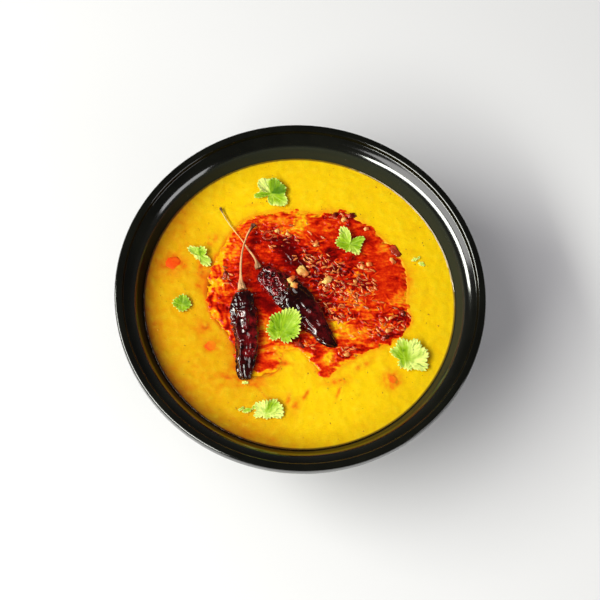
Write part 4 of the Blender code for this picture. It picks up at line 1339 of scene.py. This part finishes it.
def build_chillies(settings):
    skin_finish = chilli_finish(settings)
    stalk = stalk_finish(settings)
    build_pod("dried_chilli_left", "chilli_left", LEFT_POD, 3.0, 0, settings, skin_finish, left_glow)
    build_pod("dried_chilli_right", "chilli_right", RIGHT_POD, 8.0, 1, settings, skin_finish, right_glow)
    build_stem("chilli_stalk_left", "chilli_left_stem", LEFT_STEM, 2.0, 4.8, 0, stalk, left_brown_and_shade)
    build_stem("chilli_stalk_right", "chilli_right_stem", RIGHT_STEM, 5.0, 2.6, 1, stalk, right_browning)


def left_brown_and_shade(share, turns):
    """The left stalk is tan at the pod, painted darker along its right side away from the window as painted
    shade, and dark at its end.
    """
    # painted shade along the right side, away from the window
    side = 0.95 * ease(2.2 * np.cos(turns) - 0.4) * ease((share - 0.12) / 0.12)
    return side + 0.05 + 0.9 * ease((share - 0.84) / 0.12)


def right_browning(share, turns):
    """The right stalk is brown and pink at the pod, pale beyond and dark at its end."""
    return 0.65 * (1 - ease(share * 3.2)) + 0.9 * ease((share - 0.88) / 0.08)


# ---------------------------------------------------------------- the coriander
def lobe_weights(lobes, turns):
    """How strongly each lobe reaches in each direction."""
    weights = []
    for lobe in lobes:
        apart = np.degrees(turns) - lobe.direction
        turn = np.abs((apart + 180) % 360 - 180) / lobe.breadth
        weights.append((lobe.reach * 0.5 ** (turn**2)) ** LOBE_BLEND)
    return np.array(weights)


def lobe_mean(lobes, weights, field):
    """The lobes' lift or tone in each direction, by how far each lobe reaches there."""
    values = np.array([[getattr(lobe, field)] for lobe in lobes])
    return (weights * values).sum(axis=0) / weights.sum(axis=0)


def leaf_teeth(leaf, settings, seed, turns, reach):
    """How far the teeth stand out in each direction (mm), and their shape and fullness (0 to 1)."""
    outline = np.stack([reach * np.cos(turns), reach * np.sin(turns)], axis=1)
    steps = np.linalg.norm(np.roll(outline, -1, axis=0) - outline, axis=1)
    girth = steps.sum()
    teeth = max(round(girth / (settings.tooth_pitch / MM)), 8)
    phase = teeth * (np.cumsum(steps) - steps[0]) / girth
    ragged = 0.75 + 0.5 * hills(outline[:, 0], outline[:, 1], 5.0, seed + 9)
    uneven = 0.3 + 1.3 * np.sin(phase * 1.7 + seed) ** 2 * ragged
    tooth = ease(1.15 - 1.15 * np.abs(2 * (phase % 1) - 1))
    depth = settings.tooth_depth / MM * leaf.fringe * uneven
    return depth * (tooth - 0.72), tooth, np.clip(uneven, 0, 1)


def leaf_sheet(leaf, settings, seed, count=320, rows=13):
    """The upper side of a leaflet as rings from its middle outwards, and its painted numbers."""
    turns = full_turn(count)
    weights = lobe_weights(leaf.lobes, turns)
    total = weights.sum(axis=0)
    reach = total ** (1 / LOBE_BLEND)
    lift, tone = (lobe_mean(leaf.lobes, weights, field) for field in ("lift", "tone"))
    lift = lift - CREASE_DEPTH * (1 - weights.max(axis=0) / total)
    fringe, tooth, fullness = leaf_teeth(leaf, settings, seed, turns, reach)
    edge = reach + fringe
    share = (np.arange(1, rows + 1) / rows)[:, None] ** 0.85
    blend = ease((share - 0.5) / 0.5)
    radius = share * (reach * (1 - blend) + edge * blend)
    x, y = radius * np.cos(turns), radius * np.sin(turns)
    vein, side_vein, pleat, crease = leaf_veins(leaf, x, y, seed)
    waves = 0.40 * hills(x + 50, y, 4.0, seed, 2) * share
    z = lift * share**1.5 - 0.10 * vein + 0.04 * side_vein + 0.08 * pleat * share - 0.12 * crease + waves
    tips = ease((share - 0.84) / 0.16) * tooth * fullness
    mottled = 0.30 * hills(x, y, 2.6, seed + 3, 2) + 0.40 * ease((share - 0.5) / 0.45) - 0.22
    # tone is partly the lobe's own colour and partly painted light and shade
    blade = np.maximum(tone + mottled, 0) * ease(share * 2.0) * (0.9 + 0.2 * pleat)
    pale = blade + 1.2 * tips + 0.22 * vein
    # painted shade: darker in the creases and on the low sides of the pleats and side veins
    dark = 0.8 * np.maximum(-tone - mottled, 0) + 0.16 * np.maximum(-pleat, 0)
    dark = dark + 0.85 * crease + 0.1 * np.maximum(-side_vein, 0)
    return np.stack([x, y, z], axis=2), pale, np.clip(dark * (1 - 0.8 * tips), 0, 1)


def leaf_veins(leaf, x, y, seed):
    """How close each place is to a main vein, waves along the side veins and pleats, and short creases."""
    vein = np.zeros_like(x)
    wave = np.zeros_like(x)
    nearest = np.full_like(x, 1e9)
    for lobe in leaf.lobes:
        turn = math.radians(lobe.direction)
        tip = lobe.reach * np.array([math.cos(turn), math.sin(turn)])
        run = tip - np.array(leaf.root)
        span = np.linalg.norm(run)
        run /= span
        along = (x - leaf.root[0]) * run[0] + (y - leaf.root[1]) * run[1]
        across = np.abs((y - leaf.root[1]) * run[0] - (x - leaf.root[0]) * run[1])
        away = np.hypot(across, np.minimum(along, 0))
        width = 0.34 * (1.2 - 0.7 * np.clip(along / span, 0, 1))
        vein = np.maximum(vein, np.exp(-((away / width) ** 2)) * (along > -0.3))
        closer = away < nearest
        nearest = np.where(closer, away, nearest)
        wave = np.where(closer, np.cos(2 * np.pi * (along - 0.9 * across) / 1.9), wave)
    away = np.hypot(x - leaf.root[0], y - leaf.root[1])
    turns = np.arctan2(y - leaf.root[1], x - leaf.root[0])
    fan = 11 * turns + 3.0 * hills(x, y, 5.0, seed + 30) + seed
    pleat = np.sin(fan) * ease(away / 4.0)
    broken = ease(0.35 + 1.6 * hills(x, y, 3.4, seed + 31)) * ease(away / 3.0 - 0.3)
    crease = np.exp(-((np.sin(fan + 1.0) / 0.22) ** 2)) * broken
    return vein, wave * ease(nearest / 1.2), pleat, crease


def closed_leaf(sheet, thickness):
    """Points and faces of a leaflet with two sides, from the rings of its upper side."""
    rows, count = sheet.shape[:2]
    middle = sheet[0].mean(axis=0)
    upper = np.concatenate([sheet.reshape(-1, 3), [middle]])
    lower = upper - np.array((0, 0, thickness))
    centre, under = rows * count, rows * count + 1
    faces = []
    for k in range(count):
        after = (k + 1) % count
        faces.append((centre, k, after))
        faces.append((under + centre, under + after, under + k))
        rim, rim_after = (rows - 1) * count + k, (rows - 1) * count + after
        faces.append((rim, under + rim, under + rim_after, rim_after))
        for i in range(rows - 1):
            low, high = i * count, (i + 1) * count
            faces.append((low + k, high + k, high + after, low + after))
            faces.append((under + low + after, under + high + after, under + high + k, under + low + k))
    return np.concatenate([upper, lower]), faces


def both_sides(values):
    """The numbers of a leaflet's upper side, with its middle, and the same again for its lower side."""
    return np.tile(np.append(values.ravel(), values[0].mean()), 2)


def build_leaves(settings):
    finish = leaf_finish(settings)
    thickness = settings.thickness / MM
    for number, (node, leaf) in enumerate(LEAVES.items()):
        sheet, pale, dark = leaf_sheet(leaf, settings, 40 + number)
        lowest = min(sheet[..., 2].min(), 0.0)
        sheet = sheet + np.array((leaf.x, leaf.y, leaf.bed + thickness - lowest))
        points, faces = closed_leaf(sheet, thickness)
        piece = new_piece(node.replace("leaf", "coriander"), points, faces, finish, [node])
        paint(piece, "pale", both_sides(pale))
        paint(piece, "dark", both_sides(dark))
    build_leaf_scraps(finish, settings)


def scrap_leaf(scrap):
    """A scrap as a small leaflet with four blunt lobes."""
    half, side = scrap.length / 2, scrap.width / 2
    lobes = [
        Lobe(scrap.turn + turn, reach, 50, 0.2 + turn % 180 / 300, scrap.pale + turn / 500)
        for turn, reach in ((0, half), (80, side), (180, half), (260, side))
    ]
    return Leaf(scrap.x, scrap.y, SCRAP_BED, (0.0, -side / 2), 0.5, lobes)


def build_leaf_scraps(finish, settings):
    parts, pale, dark = [], [], []
    for number, scrap in enumerate(LEAF_SCRAPS):
        leaf = scrap_leaf(scrap)
        sheet, light, shade = leaf_sheet(leaf, settings, 70 + number, 96, 5)
        sheet = sheet + np.array((leaf.x, leaf.y, leaf.bed - sheet[..., 2].min()))
        parts.append(closed_leaf(sheet, settings.thickness / MM))
        pale.append(both_sides(light))
        dark.append(both_sides(shade))
    points, faces, sizes = joined(parts)
    piece = new_piece("coriander_scraps", points, faces, finish)
    paint(piece, "pale", np.concatenate(pale))
    paint(piece, "dark", np.concatenate(dark))


# ---------------------------------------------------------------- cumin and cooked bits
def cumin_seed(length_mm, width, bend):
    """A curved, ribbed, pointed seed along X: its points and faces."""
    rings, sides = 9, 10
    t = np.linspace(0.04, 0.96, rings)[:, None]
    turns = full_turn(sides)
    rib = np.where(np.arange(sides) % 2 == 0, 1.0, 0.0)
    radius = width / 2 * np.sin(np.pi * t) ** 0.55 * (0.84 + 0.16 * rib)
    body = np.zeros((rings, sides, 3))
    body[..., 0] = (t - 0.5) * length_mm
    body[..., 1] = radius * np.cos(turns) + bend * (4 * (t - 0.5) ** 2 - 0.3)
    body[..., 2] = radius * np.sin(turns) * 0.85
    return skin(body)


def inside_pods(x, y, margin=1.0):
    """Whether a place lies under one of the pods, or within margin (mm) of it."""
    for stations in (LEFT_POD, RIGHT_POD):
        path = through([(s.x, s.y, s.width / 2) for s in stations], 4)
        if (np.hypot(path[:, 0] - x, path[:, 1] - y) < path[:, 2] + margin).any():
            return True
    return False


def seed_spot(dice, shares):
    """A random place in one of the beds, more often near its middle."""
    bed = SEED_BEDS[dice.choice(len(SEED_BEDS), p=shares)]
    reach = math.sqrt(-math.log(1 - dice.uniform(0, 0.94))) * 0.8
    turn = dice.uniform(0, 2 * math.pi)
    return spot_in(bed, bed.long * reach * math.cos(turn), bed.wide * reach * math.sin(turn))


def build_seeds(settings):
    dice = np.random.default_rng(5)
    shares = np.array([bed.amount for bed in SEED_BEDS])
    shares = shares / shares.sum()
    parts, shade, tones, places = [], [], [], []
    for attempt in range(SEED_TRIES):
        if len(parts) == settings.count:
            break
        x, y = seed_spot(dice, shares)
        if oil_edge(np.array([x]), np.array([y]))[0] < SEED_SHORE or inside_pods(x, y):
            continue
        if any(math.hypot(x - a, y - b) < SEED_GAP for a, b in places):
            continue
        long_mm = settings.length / MM * dice.uniform(0.78, 1.2)
        wide_mm = settings.width / MM * dice.uniform(0.8, 1.15)
        points, faces = cumin_seed(long_mm, wide_mm, dice.uniform(-0.6, 0.6))
        yaw = dice.normal(-20, 36)
        height = surface_at(x, y) + dice.uniform(-0.45, 0.05)
        made = placed(points, x, y, height, yaw, dice.normal(0, 7), dice.uniform(0, 360))
        parts.append((made, faces))
        # painted light and shade: the upper side is painted light and the lower sides dark, partly for the
        # oil over them
        shade.append(ease((made[:, 2] - height) / (0.36 * settings.width / MM) - 0.05))
        tones.append(dice.uniform(0.35, 1.3))
        places.append((x, y))
    points, faces, sizes = joined(parts)
    piece = new_piece("cumin_seeds", points, faces, seed_finish(settings))
    paint(piece, "rib", np.concatenate(shade))
    paint(piece, "tone", np.repeat(tones, sizes))


def scatter(name, bits, finish, height_at, roughness=0.35, squareness=0.72):
    """One piece made of cooked bits. Each is browner towards one end."""
    parts, toast = [], []
    for number, bit in enumerate(bits):
        points, faces = lump((bit.length, bit.width, bit.height), 7 * number + 1, roughness, squareness)
        toast.append(bit.brown * (1 + points[:, 0] / bit.length * 2.0))
        z = height_at(bit.x, bit.y) + 0.22 * bit.height
        parts.append((placed(points, bit.x, bit.y, z, bit.turn, 6 * math.sin(number * 2.1)), faces))
    points, faces, sizes = joined(parts)
    piece = new_piece(name, points, faces, finish)
    paint(piece, "toast", np.clip(np.concatenate(toast), 0, 1))


def pod_top(x, y):
    """Height of the right pod's back."""
    path = through([(s.x, s.y, s.height + s.thickness / 2) for s in RIGHT_POD], 6)
    return SOUP_LEVEL + float(path[np.hypot(path[:, 0] - x, path[:, 1] - y).argmin(), 2]) - 0.7


def build_slice(finish):
    """A curled slice of dried chilli: a thin strip that goes most of the way round a ring."""
    turns = np.radians(np.linspace(20, 330, 40))
    x, y = RING.length / 2 * np.cos(turns), RING.width / 2 * np.sin(turns)
    coil = np.stack([x, y, 0.4 + 0.3 * np.sin(2 * turns)], axis=1)
    taper = np.sin(np.linspace(0.4, 2.7, len(coil)))[:, None] ** 0.5
    thick = np.full((len(coil), 2), RING.height / 2) * taper

    def wrinkled(angles, ways, length_mm):
        return 1 + 0.4 * around(angles, ways, 0.9, 1.6, 4.0)

    rings, angles, ways = swept(coil, thick, 16, wrinkled)
    points, faces = skin(rings)
    points = placed(points, RING.x, RING.y, surface_at(RING.x, RING.y), RING.turn)
    piece = new_piece("curled_chilli_slice", points, faces, finish)
    paint(piece, "toast", with_ends(0.3 + 0.4 * np.cos(angles), 0.5))


def build_bits():
    garlic = bit_finish("fried_garlic", (1.0, 0.66, 0.17), (0.70, 0.12, 0.02))
    scatter("garlic_bits", GARLIC, garlic, surface_at, 0.58, 0.75)
    scatter("garlic_on_chilli", GARLIC_ON_POD, garlic, pod_top, 0.6, 0.65)
    flakes = bit_finish("chilli_flake", (0.60, 0.06, 0.02), (0.10, 0.003, 0.003), 0.08)
    scatter("chilli_flakes", FLAKES, flakes, surface_at, 0.8, 0.8)
    build_slice(flakes)
    tomato = bit_finish("tomato", (0.86, 0.062, 0.002), (0.95, 0.27, 0.006), 0.50)
    scatter("tomato_bits", TOMATOES, tomato, lambda x, y: SOUP_LEVEL - 0.58, 0.22, 1.0)


# ---------------------------------------------------------------- floor, lights and camera
def facing(place, target, roll=0.0):
    """A matrix at a place that looks at a target."""
    back = (Vector(place) - Vector(target)).normalized()
    right = Vector((0, 0, 1)).cross(back).normalized()
    up = back.cross(right)
    turned_right = right * math.cos(roll) + up * math.sin(roll)
    turned_up = up * math.cos(roll) - right * math.sin(roll)
    return Matrix.LocRotScale(Vector(place), Matrix((turned_right, turned_up, back)).transposed(), None)


def around_bowl(azimuth, elevation, distance):
    """A place this far from the rim, with azimuth 0 to the right and 90 behind (degrees)."""
    turn, rise = math.radians(azimuth), math.radians(elevation)
    away = Vector((math.cos(turn) * math.cos(rise), math.sin(turn) * math.cos(rise), math.sin(rise)))
    return Vector((0, 0, BOWL_HEIGHT * MM)) + away * distance


def soft_light(name, azimuth, elevation, width, height, watts, tint=(1, 1, 1)):
    """A rectangular lamp that looks at the middle of the rim."""
    lamp = bpy.data.lights.new(name, "AREA")
    lamp.shape = "RECTANGLE"
    lamp.size, lamp.size_y = width, height
    lamp.energy = watts
    lamp.color = tint
    made = bpy.data.objects.new(name, lamp)
    place = around_bowl(azimuth, elevation, LIGHT_DISTANCE)
    made.matrix_world = facing(place, (0, 0, BOWL_HEIGHT * MM))
    bpy.context.scene.collection.objects.link(made)


def build_floor(settings):
    made, pattern, shader = new_finish("pale_floor", 0.75)
    clouds = pattern.clouds(3.0, detail=2.0)
    darker = tuple(value * 0.985 for value in settings.floor)
    pattern.feed(shader["Base Color"], pattern.blend(clouds, settings.floor, darker))
    half = settings.floor_size
    mesh = bpy.data.meshes.new("floor")
    corners = [(-half, -half, 0), (half, -half, 0), (half, half, 0), (-half, half, 0)]
    mesh.from_pydata(corners, [], [(0, 1, 2, 3)])
    mesh.materials.append(made)
    floor = bpy.data.objects.new("floor", mesh)
    bpy.context.scene.collection.objects.link(floor)


def build_camera(settings):
    cam = bpy.data.cameras.new("camera")
    cam.sensor_width = SENSOR
    cam.lens = LENS
    cam.shift_x, cam.shift_y = LENS_SHIFT
    made = bpy.data.objects.new("camera", cam)
    azimuth, elevation = math.degrees(settings.azimuth) - 90, math.degrees(settings.elevation)
    place = around_bowl(azimuth, elevation, settings.distance)
    made.matrix_world = facing(place, (0, 0, BOWL_HEIGHT * MM), settings.roll)
    bpy.context.scene.collection.objects.link(made)
    bpy.context.scene.camera = made


def build_world(settings):
    """Soft light from all around, brighter low down. Glossy things mirror only a part of it."""
    world = bpy.data.worlds.new("surroundings")
    world.use_nodes = True
    pattern = Pattern(world.node_tree)
    outward = pattern.add("ShaderNodeTexCoord").outputs["Generated"]
    upward = pattern.add("ShaderNodeSeparateXYZ", {"Vector": outward}).outputs["Z"]
    strength = pattern.between(upward, 0.05, 0.55, settings.horizon, settings.zenith)
    mirrors = pattern.add("ShaderNodeLightPath").outputs["Is Glossy Ray"]
    share = pattern.between(mirrors, 0.0, 1.0, 1.0, settings.mirrored)
    background = world.node_tree.nodes["Background"].inputs
    background["Color"].default_value = (1.0, 1.0, 1.0, 1.0)
    pattern.feed(background["Strength"], pattern.maths("MULTIPLY", strength, share))
    bpy.context.scene.world = world


def build_stage(settings):
    bpy.context.scene.view_settings.view_transform = "Standard"
    build_floor(settings)
    soft_light("window", 196, 41, 1.70, 0.30, settings.window, (0.98, 1.0, 0.91))
    soft_light("window_top", 189, 61, 0.95, 0.46, settings.upper, (1.0, 0.99, 0.97))
    soft_light("fill", -25, 24, 0.6, 0.4, settings.fill)
    build_world(settings)
    build_camera(settings)


# ---------------------------------------------------------------- operators and the panel
class DAL_OT_stage(bpy.types.Operator):
    """Make the floor, the lights and the camera"""
    bl_idname = "dal.stage"
    bl_label = "Floor, lights and camera"

    def execute(self, context):
        build_stage(context.scene.dal_stage)
        return {"FINISHED"}


class DAL_OT_bowl(bpy.types.Operator):
    """Make the glazed bowl"""
    bl_idname = "dal.bowl"
    bl_label = "Bowl"

    def execute(self, context):
        build_bowl(context.scene.dal_bowl)
        return {"FINISHED"}


class DAL_OT_lentils(bpy.types.Operator):
    """Make the dal and the spice on it"""
    bl_idname = "dal.lentils"
    bl_label = "Dal"

    def execute(self, context):
        build_dal(context.scene.dal_lentils)
        build_specks(context.scene.dal_lentils)
        return {"FINISHED"}


class DAL_OT_oil(bpy.types.Operator):
    """Make the pool of chilli oil"""
    bl_idname = "dal.oil"
    bl_label = "Chilli oil"

    def execute(self, context):
        build_oil(context.scene.dal_oil)
        return {"FINISHED"}


class DAL_OT_chillies(bpy.types.Operator):
    """Make the dried chillies and their stalks"""
    bl_idname = "dal.chillies"
    bl_label = "Dried chillies"

    def execute(self, context):
        build_chillies(context.scene.dal_chillies)
        return {"FINISHED"}


class DAL_OT_leaves(bpy.types.Operator):
    """Make the coriander leaflets"""
    bl_idname = "dal.leaves"
    bl_label = "Coriander"

    def execute(self, context):
        build_leaves(context.scene.dal_leaves)
        return {"FINISHED"}


class DAL_OT_seeds(bpy.types.Operator):
    """Scatter the cumin seeds"""
    bl_idname = "dal.seeds"
    bl_label = "Cumin seeds"

    def execute(self, context):
        build_seeds(context.scene.dal_seeds)
        return {"FINISHED"}


class DAL_OT_bits(bpy.types.Operator):
    """Place the garlic, the chilli flakes and the tomato"""
    bl_idname = "dal.bits"
    bl_label = "Garlic, flakes and tomato"

    def execute(self, context):
        build_bits()
        return {"FINISHED"}


class DAL_PT_panel(bpy.types.Panel):
    """The steps that make the dal, and their settings"""
    bl_idname = "DAL_PT_panel"
    bl_label = "Dal"
    bl_space_type = "VIEW_3D"
    bl_region_type = "UI"
    bl_category = "Dal"

    def draw(self, context):
        for operator, settings in STEPS:
            box = self.layout.box()
            box.operator(operator)
            if settings:
                group = getattr(context.scene, settings)
                for name in group.__annotations__:
                    box.prop(group, name)


STEPS = [
    ("dal.stage", "dal_stage"),
    ("dal.bowl", "dal_bowl"),
    ("dal.lentils", "dal_lentils"),
    ("dal.oil", "dal_oil"),
    ("dal.chillies", "dal_chillies"),
    ("dal.leaves", "dal_leaves"),
    ("dal.seeds", "dal_seeds"),
    ("dal.bits", None),
]
SETTINGS = {
    "dal_stage": DalStageSettings,
    "dal_bowl": DalBowlSettings,
    "dal_lentils": DalLentilSettings,
    "dal_oil": DalOilSettings,
    "dal_chillies": DalChilliSettings,
    "dal_leaves": DalLeafSettings,
    "dal_seeds": DalSeedSettings,
}
CLASSES = [
    *SETTINGS.values(), DAL_OT_stage, DAL_OT_bowl, DAL_OT_lentils, DAL_OT_oil, DAL_OT_chillies, DAL_OT_leaves,
    DAL_OT_seeds, DAL_OT_bits, DAL_PT_panel,
]


def register():
    for item in CLASSES:
        bpy.utils.register_class(item)
    for name, group in SETTINGS.items():
        setattr(bpy.types.Scene, name, PointerProperty(type=group))


def unregister():
    for name in SETTINGS:
        delattr(bpy.types.Scene, name)
    for item in reversed(CLASSES):
        bpy.utils.unregister_class(item)


def main():
    register()
    build_groups()
    bpy.ops.dal.stage()
    bpy.ops.dal.bowl()
    bpy.ops.dal.lentils()
    bpy.ops.dal.oil()
    bpy.ops.dal.chillies()
    bpy.ops.dal.leaves()
    bpy.ops.dal.seeds()
    bpy.ops.dal.bits()


if __name__ == "__main__":
    main()
